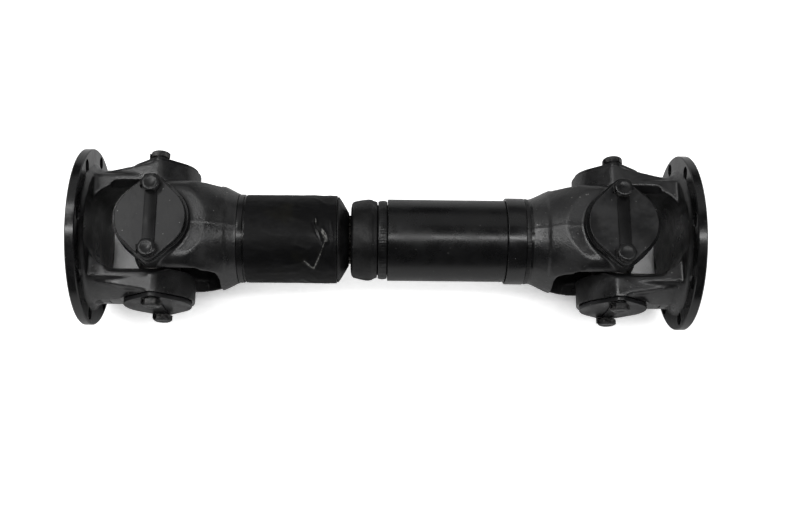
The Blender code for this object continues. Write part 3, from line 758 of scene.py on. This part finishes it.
def spline_sleeve():
    """The slip yoke's bush, with a collar and a groove next to the yoke."""
    bore = 24 * MM
    mouth = 25.4 * MM
    collar = SLEEVE_R + 0.8 * MM
    counterbore = SLEEVE_END - 9 * MM
    return turned([
        (SLEEVE_START, bore), (SLEEVE_START, collar), (GROOVE_START, collar),
        (GROOVE_START, SLEEVE_GROOVE_R), (GROOVE_END, SLEEVE_GROOVE_R), (GROOVE_END, SLEEVE_R),
        (SLEEVE_END, SLEEVE_R), (SLEEVE_END, mouth), (counterbore, mouth), (counterbore, bore)],
        "spline_sleeve", soft=0.35 * MM, closed=True)


def gland_nut():
    """The cone that closes the sleeve and holds the felt."""
    start = SLEEVE_END + GAP
    return turned([
        (start, FELT_R + GAP), (start, 43.8 * MM), (start + 1.4 * MM, 43.9 * MM),
        (-47.2 * MM, 41 * MM), (-43 * MM, 34 * MM), (-39.6 * MM, 28.2 * MM), (GLAND_END, 27 * MM),
        (GLAND_END, GLAND_BORE_R), (FELT_SEAT, GLAND_BORE_R), (FELT_SEAT, FELT_R + GAP)],
        "gland_nut", soft=0.5 * MM, closed=True)


def welch_plug():
    """The dished plug that closes the bore of the slip yoke."""
    profile = points_from(-JOINT_X + INNER_THROAT + 3 * MM, (2.2, 0), (1, 10), (0, 18), (1, 20),
                          (4.6, 20), (4.6, 0))
    return turned(profile, "welch_plug", soft=0.6 * MM, segments=BORE)


# Finishes: node groups shared by several materials


def new_group(name, inputs, outputs):
    """An empty shader group with named sockets: (name, socket type, default)."""
    group = bpy.data.node_groups.new(name, "ShaderNodeTree")
    for label, kind, default in inputs:
        socket = group.interface.new_socket(name=label, in_out="INPUT", socket_type=kind)
        if default is not None:
            socket.default_value = default
    for label, kind in outputs:
        group.interface.new_socket(name=label, in_out="OUTPUT", socket_type=kind)
    entry = group.nodes.new("NodeGroupInput")
    leave = group.nodes.new("NodeGroupOutput")
    return group, entry.outputs, leave.inputs


class Wiring:
    """Short words for adding and joining nodes in one tree."""

    def __init__(self, tree):
        self.tree = tree

    def node(self, kind, **settings):
        made = self.tree.nodes.new(kind)
        for name, value in settings.items():
            setattr(made, name, value)
        return made

    def feed(self, socket, value):
        if isinstance(value, bpy.types.NodeSocket):
            self.tree.links.new(value, socket)
        else:
            socket.default_value = value

    def math(self, operation, first, second=0.0, clamp=False):
        made = self.node("ShaderNodeMath", operation=operation, use_clamp=clamp)
        self.feed(made.inputs[0], first)
        self.feed(made.inputs[1], second)
        return made.outputs[0]

    def times(self, first, second, clamp=False):
        return self.math("MULTIPLY", first, second, clamp)

    def plus(self, first, second):
        return self.math("ADD", first, second)

    def blend(self, share, first, second):
        made = self.node("ShaderNodeMix", data_type="RGBA")
        self.feed(made.inputs["Factor"], share)
        self.feed(made.inputs["A"], first)
        self.feed(made.inputs["B"], second)
        return made.outputs["Result"]

    def span(self, value, low, high, to_low=0.0, to_high=1.0):
        """A smooth step from one range to another."""
        made = self.node("ShaderNodeMapRange", interpolation_type="SMOOTHSTEP")
        for socket, number in zip(made.inputs, (value, low, high, to_low, to_high)):
            self.feed(socket, number)
        return made.outputs["Result"]

    def place(self, scale=(1.0, 1.0, 1.0), shift=(0.0, 0.0, 0.0)):
        """Object coordinates, stretched along an axis where a pattern has a direction."""
        source = self.node("ShaderNodeTexCoord").outputs["Object"]
        mapping = self.node("ShaderNodeMapping")
        self.feed(mapping.inputs["Vector"], source)
        mapping.inputs["Scale"].default_value = scale
        mapping.inputs["Location"].default_value = shift
        return mapping.outputs["Vector"]

    def grain(self, vector, scale, detail=4.0, rough=0.55):
        made = self.node("ShaderNodeTexNoise")
        self.feed(made.inputs["Vector"], vector)
        self.feed(made.inputs["Scale"], scale)
        made.inputs["Detail"].default_value = detail
        made.inputs["Roughness"].default_value = rough
        return made.outputs["Fac"]

    def cells(self, vector, scale):
        made = self.node("ShaderNodeTexVoronoi")
        self.feed(made.inputs["Vector"], vector)
        self.feed(made.inputs["Scale"], scale)
        return made.outputs["Distance"]


FLOAT = "NodeSocketFloat"
COLOUR = "NodeSocketColor"


def forged_skin_group():
    """Scale pits, soft lumps and fine sand of a forging under paint."""
    group, given, result = new_group(
        "forged skin", [("Scale", FLOAT, 1.0)], [("Height", FLOAT), ("Mottle", FLOAT)])
    wire = Wiring(group)
    place = wire.place()
    lumps = wire.grain(place, wire.times(given["Scale"], 55.0), 3.0)
    sand = wire.grain(place, wire.times(given["Scale"], 620.0), 5.0, 0.62)
    pits = wire.cells(place, wire.times(given["Scale"], 210.0))
    pits = wire.span(pits, 0.05, 0.36)
    scattered = wire.span(wire.grain(place, wire.times(given["Scale"], 130.0)), 0.5, 0.66)
    pits = wire.math("SUBTRACT", 1.0, wire.times(wire.math("SUBTRACT", 1.0, pits), scattered))
    height = wire.plus(wire.times(lumps, 0.9), wire.times(sand, 0.30))
    height = wire.plus(height, wire.times(pits, 0.28))
    wire.feed(result["Height"], height)
    mottle = wire.grain(place, wire.times(given["Scale"], 26.0), 6.0, 0.65)
    wire.feed(result["Mottle"], wire.span(mottle, 0.34, 0.66))
    return group


def edge_wear_group():
    """Where paint thins: on proud edges, broken up by grain."""
    group, given, result = new_group(
        "edge wear", [("Start", FLOAT, 0.53), ("Reach", FLOAT, 0.06), ("Break up", FLOAT, 260.0)],
        [("Mask", FLOAT)])
    wire = Wiring(group)
    proud = wire.node("ShaderNodeNewGeometry").outputs["Pointiness"]
    end = wire.plus(given["Start"], given["Reach"])
    edge = wire.span(proud, given["Start"], end)
    broken = wire.span(wire.grain(wire.place(), given["Break up"], 5.0), 0.42, 0.62)
    wire.feed(result["Mask"], wire.times(edge, broken, clamp=True))
    return group


def dust_group():
    """A thin grey bloom that settles on faces that look up, and in corners."""
    group, given, result = new_group(
        "dust", [("Amount", FLOAT, 0.5), ("Paint", COLOUR, None), ("Dust", COLOUR, None)],
        [("Color", COLOUR), ("Mask", FLOAT)])
    wire = Wiring(group)
    geometry = wire.node("ShaderNodeNewGeometry")
    split = wire.node("ShaderNodeSeparateXYZ")
    wire.feed(split.inputs["Vector"], geometry.outputs["Normal"])
    upward = wire.span(split.outputs["Z"], 0.1, 0.95, 0.25, 1.0)
    clouds = wire.span(wire.grain(wire.place(), 34.0, 7.0, 0.68), 0.40, 0.68)
    specks = wire.span(wire.cells(wire.place(), 520.0), 0.20, 0.05)
    rare = wire.span(wire.grain(wire.place(), 900.0, 1.0), 0.60, 0.70)
    corner = wire.span(geometry.outputs["Pointiness"], 0.50, 0.44)
    mask = wire.times(upward, wire.plus(wire.times(clouds, 0.55), wire.times(corner, 0.35)))
    mask = wire.plus(mask, wire.times(wire.times(specks, rare), 0.9))
    mask = wire.times(mask, given["Amount"], clamp=True)
    wire.feed(result["Mask"], mask)
    wire.feed(result["Color"], wire.blend(mask, given["Paint"], given["Dust"]))
    return group


def turning_group():
    """Fine rings left by turning about the shaft's axis."""
    group, given, result = new_group(
        "turning marks", [("Rings", FLOAT, 900.0)], [("Height", FLOAT)])
    wire = Wiring(group)
    split = wire.node("ShaderNodeSeparateXYZ")
    wire.feed(split.inputs["Vector"], wire.place())
    squares = [wire.times(split.outputs[axis], split.outputs[axis]) for axis in "YZ"]
    radius = wire.math("SQRT", wire.plus(squares[0], squares[1]))
    join_up = wire.node("ShaderNodeCombineXYZ")
    wire.feed(join_up.inputs["X"], split.outputs["X"])
    wire.feed(join_up.inputs["Y"], radius)
    rings = wire.grain(join_up.outputs["Vector"], given["Rings"], 3.0, 0.6)
    broad = wire.grain(join_up.outputs["Vector"], wire.times(given["Rings"], 0.16))
    wire.feed(result["Height"], wire.plus(wire.times(rings, 0.5), wire.times(broad, 0.5)))
    return group


def scuff_group():
    """Long thin scratches and rub marks of handling."""
    group, given, result = new_group("scuffs", [("Scale", FLOAT, 1.0)], [("Mask", FLOAT)])
    wire = Wiring(group)
    along = wire.grain(wire.place((9.0, 160.0, 160.0)), given["Scale"], 5.0, 0.7)
    across = wire.grain(wire.place((190.0, 14.0, 14.0), (3.0, 1.0, 2.0)), given["Scale"], 5.0, 0.7)
    lines = wire.math("MAXIMUM", wire.span(along, 0.66, 0.74), wire.span(across, 0.68, 0.76))
    patches = wire.span(wire.grain(wire.place(), wire.times(given["Scale"], 30.0)), 0.46, 0.60)
    wire.feed(result["Mask"], wire.times(lines, patches))
    return group


def orange_peel_group():
    """The slight waviness, runs and nibs of sprayed paint."""
    group, given, result = new_group("orange peel", [("Scale", FLOAT, 1.0)], [("Height", FLOAT)])
    wire = Wiring(group)
    place = wire.place()
    peel = wire.grain(place, wire.times(given["Scale"], 240.0), 2.0)
    sag = wire.grain(wire.place((1.0, 1.0, 0.35)), wire.times(given["Scale"], 38.0), 2.0)
    nibs = wire.span(wire.cells(place, wire.times(given["Scale"], 330.0)), 0.16, 0.02)
    rare = wire.span(wire.grain(place, wire.times(given["Scale"], 170.0), 1.0), 0.58, 0.66)
    height = wire.plus(wire.times(peel, 0.25), wire.times(sag, 0.75))
    wire.feed(result["Height"], wire.plus(height, wire.times(nibs, rare)))
    return group


FORGED_SKIN = forged_skin_group()
EDGE_WEAR = edge_wear_group()
DUST = dust_group()
TURNING = turning_group()
SCUFFS = scuff_group()
ORANGE_PEEL = orange_peel_group()

# Pale specks on the paint: partly dust, partly painted glints.
DUST_AND_GLINT_SPECK_COLOUR = (0.30, 0.30, 0.29, 1.0)
DUST_COLOUR = (0.060, 0.058, 0.055, 1.0)
BARE_STEEL = (0.30, 0.29, 0.28, 1.0)


class Finish:
    """A material in the making: its Principled shader and the wiring round it."""

    def __init__(self, name, roughness=0.4, metallic=0.0, specular=0.5):
        self.material = bpy.data.materials.new(name)
        self.material.use_nodes = True
        self.wire = Wiring(self.material.node_tree)
        self.shader = self.material.node_tree.nodes["Principled BSDF"]
        self.shader.inputs["Roughness"].default_value = roughness
        self.shader.inputs["Metallic"].default_value = metallic
        self.shader.inputs["Specular IOR Level"].default_value = specular

    def group(self, tree, **values):
        made = self.wire.node("ShaderNodeGroup", node_tree=tree)
        for label, value in values.items():
            self.wire.feed(made.inputs[label.replace("_", " ")], value)
        return made.outputs

    def feed(self, label, value):
        self.wire.feed(self.shader.inputs[label], value)

    def bump(self, height, depth, strength=1.0):
        made = self.wire.node("ShaderNodeBump")
        made.inputs["Distance"].default_value = depth
        made.inputs["Strength"].default_value = strength
        self.wire.feed(made.inputs["Height"], height)
        self.feed("Normal", made.outputs["Normal"])


def cool_grey(level, blue):
    """A dark grey with a little more blue."""
    return (level, level, blue, 1.0)


def black_paint(name, dark, light, rough, forging=0.0, peel=0.0, turning=0.0, wear=0.0,
                dust=0.3, depth=0.25 * MM, specular=0.5, specks=0.6):
    """Sprayed black paint; the numbers say what shows through from the steel below."""
    finish = Finish(name)
    wire = finish.wire
    edge_on = wire.node("ShaderNodeLayerWeight").outputs["Facing"]
    finish.feed("Specular IOR Level", wire.span(edge_on, 0.15, 0.85, specular, specular * 0.2))
    skin = finish.group(FORGED_SKIN, Scale=1.0)
    tone = wire.blend(skin["Mottle"], cool_grey(*dark), cool_grey(*light))
    dusty = finish.group(DUST, Amount=dust, Paint=tone, Dust=DUST_COLOUR)
    scuffed = finish.group(SCUFFS, Scale=1.0)["Mask"]
    worn = finish.group(EDGE_WEAR, Start=0.535, Reach=0.06)["Mask"]
    worn = wire.times(worn, wear)
    painted = wire.blend(wire.times(scuffed, 0.35), dusty["Color"], DUST_COLOUR)
    # Pale specks: partly dust, partly painted glints.
    dust_and_glint_speck = wire.span(wire.grain(wire.place(shift=(3.0, 1.0, 7.0)), 330.0, 1.0), 0.765, 0.79)
    painted = wire.blend(wire.times(dust_and_glint_speck, specks), painted, DUST_AND_GLINT_SPECK_COLOUR)
    finish.feed("Base Color", wire.blend(worn, painted, BARE_STEEL))
    finish.feed("Metallic", wire.times(worn, 0.9))
    low, high = rough
    roughness = wire.span(skin["Mottle"], 0.0, 1.0, low, high)
    roughness = wire.plus(roughness, wire.times(dusty["Mask"], 0.25))
    roughness = wire.plus(roughness, wire.times(scuffed, 0.12))
    finish.feed("Roughness", wire.math("MINIMUM", roughness, 0.9))
    height = wire.times(skin["Height"], forging)
    wave = finish.group(ORANGE_PEEL, Scale=1.0)["Height"]
    height = wire.plus(height, wire.times(wave, peel))
    rings = finish.group(TURNING, Rings=1500.0)["Height"]
    height = wire.plus(height, wire.times(rings, turning))
    finish.bump(height, depth)
    return finish.material


def steel(name, colour, dark, rough, oil=0.5):
    """Ground or machined steel with an oily film."""
    finish = Finish(name, metallic=1.0)
    wire = finish.wire
    skin = finish.group(FORGED_SKIN, Scale=1.6)
    oily = wire.times(skin["Mottle"], oil)
    finish.feed("Base Color", wire.blend(oily, colour, dark))
    finish.feed("Roughness", wire.span(skin["Mottle"], 0.0, 1.0, *rough))
    rings = finish.group(TURNING, Rings=2600.0)["Height"]
    finish.bump(wire.plus(wire.times(rings, 0.5), wire.times(skin["Height"], 0.25)), 0.06 * MM)
    return finish.material


def film_finish():
    """Dull black film, paler and shinier on the crests of its folds: the pale crest colour is
    partly whitened film and partly a painted highlight.
    """
    finish = Finish("black film")
    wire = finish.wire
    crest = wire.node("ShaderNodeAttribute", attribute_name="crease").outputs["Fac"]
    pale_crest_patches = wire.span(wire.grain(wire.place(), 260.0, 5.0, 0.7), 0.38, 0.60)
    crest = wire.times(wire.span(crest, 0.25, 0.85), pale_crest_patches, clamp=True)
    haze = wire.span(wire.grain(wire.place((0.5, 1.0, 1.0)), 60.0, 6.0, 0.7), 0.42, 0.70)
    glue = wire.span(wire.grain(wire.place(shift=(2.0, 5.0, 1.0)), 26.0, 3.0), 0.58, 0.72)
    tone = wire.blend(haze, cool_grey(0.0030, 0.0032), cool_grey(0.0085, 0.0090))
    tone = wire.blend(wire.times(glue, 0.3), tone, (0.016, 0.015, 0.008, 1.0))
    # Pale crests: partly whitened film, partly a painted highlight on the folds.
    finish.feed("Base Color", wire.blend(crest, tone, (0.190, 0.190, 0.180, 1.0)))
    edge_on = wire.node("ShaderNodeLayerWeight").outputs["Facing"]
    finish.feed("Specular IOR Level", wire.span(edge_on, 0.15, 0.85, 0.16, 0.04))
    dull = wire.span(haze, 0.0, 1.0, 0.50, 0.38)
    finish.feed("Roughness", wire.math("SUBTRACT", dull, wire.times(crest, 0.16)))
    fine = wire.grain(wire.place((0.5, 1.0, 1.0)), 150.0, 5.0, 0.62)
    streak = wire.grain(wire.place((0.3, 1.2, 1.2)), 52.0, 3.0)
    finish.bump(wire.plus(wire.times(fine, 0.35), streak), 0.5 * MM, 0.8)
    return finish.material


def soft_finish(name, colour, lighter, roughness, scale, depth):
    """Felt or rubber: matt, with a fine grain."""
    finish = Finish(name, roughness=roughness, specular=0.3)
    wire = finish.wire
    fibre = wire.grain(wire.place(), scale, 8.0, 0.75)
    finish.feed("Base Color", wire.blend(wire.span(fibre, 0.35, 0.65), colour, lighter))
    finish.bump(fibre, depth)
    return finish.material


FORGING = black_paint(
    "forged paint", (0.0060, 0.0063), (0.0160, 0.0165), (0.27, 0.42),
    forging=1.0, peel=0.25, wear=0.025,
    dust=0.20, depth=0.65 * MM, specular=0.8)
MACHINED = black_paint(
    "machined paint", (0.0034, 0.0036), (0.0064, 0.0068), (0.17, 0.28),
    forging=0.06, peel=0.30, turning=0.30,
    wear=0.03, dust=0.10, depth=0.16 * MM, specular=0.6, specks=0.3)
TUBE_PAINT = black_paint(
    "tube paint", (0.0034, 0.0036), (0.0056, 0.0060), (0.24, 0.34),
    forging=0.05, peel=0.35, turning=0.12,
    wear=0.03, dust=0.06, depth=0.14 * MM, specks=0.2)
COLLAR_PAINT = black_paint(
    "collar paint", (0.0034, 0.0036), (0.0080, 0.0084), (0.38, 0.58),
    forging=1.0, peel=0.2, turning=0.2,
    wear=0.06, dust=0.16, depth=0.6 * MM, specular=0.35)
PLATE_PAINT = black_paint(
    "cover paint", (0.0080, 0.0085), (0.0190, 0.0198), (0.28, 0.46),
    forging=0.30, peel=0.60, wear=0.12,
    dust=0.24, depth=0.30 * MM, specular=0.45, specks=1.0)
STRIP_PAINT = black_paint(
    "lock plate paint", (0.0026, 0.0028), (0.0050, 0.0053), (0.30, 0.44),
    forging=0.15, peel=0.4, wear=0.10,
    dust=0.05, depth=0.2 * MM, specular=0.22)
BOLT_PAINT = black_paint(
    "bolt paint", (0.0050, 0.0054), (0.0120, 0.0125), (0.24, 0.38),
    forging=0.3, peel=0.3, wear=0.25,
    dust=0.16, depth=0.2 * MM, specular=0.4)
WELD_PAINT = black_paint(
    "weld paint", (0.0034, 0.0036), (0.0080, 0.0084), (0.28, 0.42),
    forging=0.5, peel=0.2, wear=0.08,
    dust=0.14, depth=0.25 * MM, specular=0.45)
CUP_STEEL = steel("cup steel", (0.36, 0.36, 0.37, 1.0), (0.10, 0.098, 0.095, 1.0), (0.22, 0.40))
CROSS_STEEL = steel("cross steel", (0.24, 0.235, 0.23, 1.0), (0.045, 0.042, 0.038, 1.0),
                    (0.30, 0.52), 0.85)
GREASED_STEEL = steel("greased steel", (0.05, 0.048, 0.045, 1.0), (0.012, 0.011, 0.010, 1.0),
                      (0.35, 0.6), 0.8)
NIPPLE_ZINC = steel("nipple zinc", (0.60, 0.57, 0.48, 1.0), (0.26, 0.24, 0.19, 1.0), (0.22, 0.38),
                    0.5)
FILM = film_finish()
FELT = soft_finish("oiled felt", (0.040, 0.036, 0.030, 1.0), (0.115, 0.104, 0.090, 1.0), 0.95,
                   900.0, 0.5 * MM)
RUBBER = soft_finish("seal rubber", (0.010, 0.010, 0.010, 1.0), (0.024, 0.023, 0.022, 1.0), 0.62,
                     420.0, 0.1 * MM)


# Placing


def add(name, mesh, body, slot, *materials, replaced=()):
    """One finished piece: its place in its mesh, riding on its body."""
    mesh.materials.clear()
    for finish in materials:
        mesh.materials.append(finish)
    mesh.shade_smooth()
    mesh.set_sharp_from_angle(angle=SHARP)
    piece = bpy.data.objects.new(name, mesh)
    in_scene(piece)
    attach(piece, body)
    if replaced:
        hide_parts(*replaced)
    return piece


def machined_faces(mesh, matrix, is_machined):
    """Give the second finish to the faces that a tool has cut."""
    back = matrix.inverted()
    turn = back.to_3x3()
    for face in mesh.polygons:
        if is_machined(back @ face.center, turn @ face.normal):
            face.material_index = 1


def cut_on_flange(centre, normal):
    radius = math.hypot(centre.y, centre.z)
    on_disc = centre.x > FACE_TO_JOINT - FLANGE_T - 0.3 * MM and radius > HUB_R + 3 * MM
    in_face = centre.x > FACE_TO_JOINT - FLANGE_T + 1 * MM
    return on_disc or in_face or cut_on_ear(centre, normal)


def cut_on_ear(centre, normal):
    on_pad = abs(centre.z) > PAD_FACE - 0.1 * MM and abs(normal.z) > 0.9
    in_bore = math.hypot(centre.x, centre.y) < CUP_R + 2 * MM and abs(centre.z) > EAR_INNER - 2 * MM
    return on_pad or in_bore


def cut_on_neck(centre, normal):
    return cut_on_ear(centre, normal) or centre.x > 84 * MM


def add_yokes():
    left = Matrix.Translation((-JOINT_X, 0.0, 0.0))
    right = Matrix.Translation((JOINT_X, 0.0, 0.0))
    flange = flange_yoke()
    for side, place in (("left", left @ HALF_TURN_Z @ QUARTER_X), ("right", right @ QUARTER_X)):
        mesh = copy_of(flange, place)
        piece = add(f"{side}_flange_yoke_forging", mesh, f"{side}_flange_body", "painted_forging",
                    FORGING, MACHINED, replaced=(f"{side}_flange_yoke",))
        machined_faces(piece.data, place, cut_on_flange)
    slip_end = JOINT_X + SLEEVE_START - GAP
    slip_neck = [*points_from(0.0, (62, 54.5), (69, 51.5)), (slip_end, 45.8 * MM)]
    tube_end = JOINT_X - COLLAR_END - GAP
    tube_neck = points_from(0.0, (62, 54), (69, 51), (77, 47), (83, 44.3), (87, 43.5))
    tube_neck.append((tube_end, 43.5 * MM))
    for name, neck, end, place, body in (
            ("slip_yoke", slip_neck, slip_end, left, "slip_body"),
            ("tube_yoke", tube_neck, tube_end, right @ HALF_TURN_Z, "shaft_body")):
        mesh = moved(inner_yoke(neck, end, name), place)
        piece = add(name + "_forging", mesh, body, "painted_forging", FORGING, MACHINED,
                    replaced=(name,))
        machined_faces(piece.data, place, cut_on_neck)


def add_ear_fittings(label, place, body, meshes):
    add(label + "_needle_cup", copy_of(meshes["cup"], place), body, "bearing_steel", CUP_STEEL,
        replaced=(label + "_bearing_cup",))
    add(label + "_cover_plate", copy_of(meshes["cover"], place), body, "painted_cover",
        PLATE_PAINT, replaced=(label + "_bearing_cover",))
    add(label + "_lock_strip", copy_of(meshes["strip"], place), body, "painted_lock_plate",
        STRIP_PAINT, replaced=(label + "_lock_plate",))
    for number, side in enumerate((1, -1), start=1):
        turn = Matrix.Rotation(math.radians(60 * side), 4, "Z")
        spot = place @ Matrix.Translation((0.0, side * BOLT_OFFSET, 0.0)) @ turn
        add(f"{label}_hex_bolt_{number}", copy_of(meshes["bolt"], spot), body, "painted_bolt",
            BOLT_PAINT, replaced=(f"{label}_bolt_{number}",))


def add_joints():
    meshes = {"cup": bearing_cup(), "cover": cover(), "strip": lock_strip(), "bolt": bolt()}
    spider = cross()
    guard = seal()
    fitting = nipple()
    for side, x, inner in (("left", -JOINT_X, "slip"), ("right", JOINT_X, "tube")):
        centre = Matrix.Translation((x, 0.0, 0.0))
        outward = centre @ (HALF_TURN_Z if x < 0 else Matrix.Identity(4))
        body = f"{side}_cross_body"
        add(f"{side}_spider", copy_of(spider, centre), body, "machined_steel", CROSS_STEEL,
            replaced=(f"{side}_cross",))
        add(f"{side}_nipple", copy_of(fitting, outward), body, "nipple_zinc", NIPPLE_ZINC,
            replaced=(f"{side}_grease_nipple",))
        for number in range(4):
            turn = Matrix.Rotation(number * math.pi / 2, 4, "X")
            add(f"{side}_trunnion_seal_{number + 1}", copy_of(guard, centre @ turn), body,
                "felt", RUBBER)
        holder = "slip_body" if inner == "slip" else "shaft_body"
        for label, turn in (("upper", Matrix.Identity(4)), ("lower", FLIP)):
            add_ear_fittings(f"{inner}_{label}", centre @ turn, holder, meshes)
        for label, angle in (("rear", -math.pi / 2), ("front", math.pi / 2)):
            turn = Matrix.Rotation(angle, 4, "X")
            add_ear_fittings(f"{side}_flange_{label}", centre @ turn, f"{side}_flange_body",
                             meshes)


def add_shaft():
    shaft = "shaft_body"
    slip = "slip_body"
    tube = ring(0.6 * MM, COLLAR_START - 0.5 * MM, TUBE_BORE_R, TUBE_R, "outer_tube", 0.5 * MM)
    add("outer_tube", tube, shaft, "painted_tube", TUBE_PAINT, replaced=("shaft_tube",))
    collar = ring(COLLAR_START, COLLAR_END, TUBE_BORE_R, COLLAR_R, "end_collar", 0.8 * MM)
    add("end_collar", collar, shaft, "painted_tube", MACHINED, replaced=("tube_collar",))
    add("collar_weld", weld_bead(142.3 * MM, 43.3 * MM, 2.6 * MM, "collar_weld"), shaft,
        "painted_tube", WELD_PAINT)
    add("head_weld", weld_bead(-4.6 * MM, 39.7 * MM, 4.6 * MM, "head_weld"), shaft,
        "painted_tube", WELD_PAINT, replaced=("spline_weld_ring",))
    add("spline_collar", head_collar(), shaft, "painted_collar", COLLAR_PAINT,
        replaced=("splined_shaft",))
    add("spline_teeth", spline_bar(), shaft, "machined_steel", GREASED_STEEL)
    add("sleeve", spline_sleeve(), slip, "painted_tube", TUBE_PAINT, replaced=("spline_sleeve",))
    add("sleeve_film", film(), slip, "black_film", FILM, replaced=("protective_film",))
    add("gland", gland_nut(), slip, "painted_collar", COLLAR_PAINT, replaced=("gland_nut",))
    felt = ring(SLEEVE_END + 2 * GAP, FELT_SEAT - GAP, 25.4 * MM, FELT_R, "felt_ring", 0.8 * MM,
                BORE)
    add("felt_ring", felt, slip, "felt", FELT, replaced=("felt_seal",))
    add("end_plug", welch_plug(), slip, "bearing_steel", CUP_STEEL, replaced=("welch_plug",))


# Floor, light and camera


def add_floor():
    shape = bmesh.new()
    bmesh.ops.create_grid(shape, x_segments=1, y_segments=1, size=6.0)
    bmesh.ops.translate(shape, verts=shape.verts, vec=(0.0, 0.0, cad_box[0][2] - 0.6 * MM))
    mesh = bpy.data.meshes.new("floor")
    shape.to_mesh(mesh)
    shape.free()
    finish = Finish("pale floor", roughness=0.9, specular=0.1)
    wire = finish.wire
    clouds = wire.grain(wire.place(), 3.0, 4.0)
    pale = wire.blend(clouds, (0.90, 0.90, 0.90, 1.0), (0.93, 0.93, 0.93, 1.0))
    finish.feed("Base Color", pale)
    # Painted shadow: the floor's glow is seen only by camera rays and is cut by ambient occlusion,
    # so the floor under the shaft and in the gaps of the joints is painted dark.
    shade = wire.node("ShaderNodeAmbientOcclusion", samples=8)
    shade.inputs["Distance"].default_value = 0.13
    glow_outside_painted_shadow = wire.span(shade.outputs["AO"], 0.30, 0.50)
    finish.feed("Emission Color", (1.0, 1.0, 1.0, 1.0))
    seen = wire.node("ShaderNodeLightPath").outputs["Is Camera Ray"]
    glow = wire.times(seen, glow_outside_painted_shadow)
    finish.feed("Emission Strength", wire.times(glow, 0.86))
    mesh.materials.append(finish.material)
    floor = bpy.data.objects.new("floor", mesh)
    in_scene(floor)


def add_light(name, place, aim, size, power, glossy=True):
    data = bpy.data.lights.new(name, "AREA")
    data.shape = "RECTANGLE"
    data.size, data.size_y = size
    data.energy = power
    lamp = bpy.data.objects.new(name, data)
    lamp.location = place
    direction = Vector(aim) - Vector(place)
    lamp.rotation_euler = direction.to_track_quat("-Z", "Y").to_euler()
    lamp.visible_glossy = glossy
    in_scene(lamp)


def add_camera():
    """Seen from above the front, the shaft level in the frame."""
    lean = math.radians(17.5)
    across = Vector((1.0, 0.0, 0.0))
    upward = Vector((0.0, math.cos(lean), math.sin(lean)))
    towards = Vector((0.0, -math.sin(lean), math.cos(lean)))
    basis = Matrix((across, upward, towards)).transposed().to_4x4()
    turn = Matrix.Rotation(math.radians(0.64), 4, "Z")
    turn = turn @ Matrix.Rotation(math.radians(-1.45), 4, "Y")
    turn = turn @ Matrix.Rotation(math.radians(-1.9), 4, "X")
    data = bpy.data.cameras.new("camera")
    data.sensor_width = 36.0
    data.lens = 52.55
    camera = bpy.data.objects.new("camera", data)
    camera.matrix_world = Matrix.Translation(
        basis @ Vector((-17.2, 18.8, 1205.1)) * MM) @ basis @ turn
    in_scene(camera)
    bpy.context.scene.camera = camera


def add_studio():
    """A white horizon, a dim fill from behind, two soft strips above and a wash for the floor."""
    world = bpy.data.worlds.new("studio")
    world.use_nodes = True
    wire = Wiring(world.node_tree)
    dim = world.node_tree.nodes["Background"]
    dim.inputs["Color"].default_value = (0.95, 0.97, 1.0, 1.0)
    dim.inputs["Strength"].default_value = 0.04
    white = wire.node("ShaderNodeBackground")
    white.inputs["Color"].default_value = (1.0, 1.0, 1.0, 1.0)
    seen = wire.node("ShaderNodeMixShader")
    wire.feed(seen.inputs["Fac"], wire.node("ShaderNodeLightPath").outputs["Is Camera Ray"])
    wire.feed(seen.inputs[1], dim.outputs["Background"])
    wire.feed(seen.inputs[2], white.outputs["Background"])
    wire.feed(world.node_tree.nodes["World Output"].inputs["Surface"], seen.outputs["Shader"])
    bpy.context.scene.world = world
    bpy.context.scene.view_settings.view_transform = "Standard"
    add_light("rear_fill", (0.0, 1.9, 1.9), (0.0, 0.0, 0.0), (4.0, 2.0), 8.0)
    add_light("key_strip", (0.0, -0.24, 1.95), (0.0, 0.0, 0.0), (4.4, 0.20), 24.0)
    add_light("left_strip", (-1.1, 0.42, 1.85), (-0.3, 0.0, 0.0), (0.9, 0.20), 9.0)
    add_light("floor_wash", (0.0, 0.0, 2.6), (0.0, 0.0, 0.0), (4.0, 4.0), 23.0, glossy=False)


add_yokes()
add_joints()
add_shaft()
add_floor()
add_camera()
add_studio()
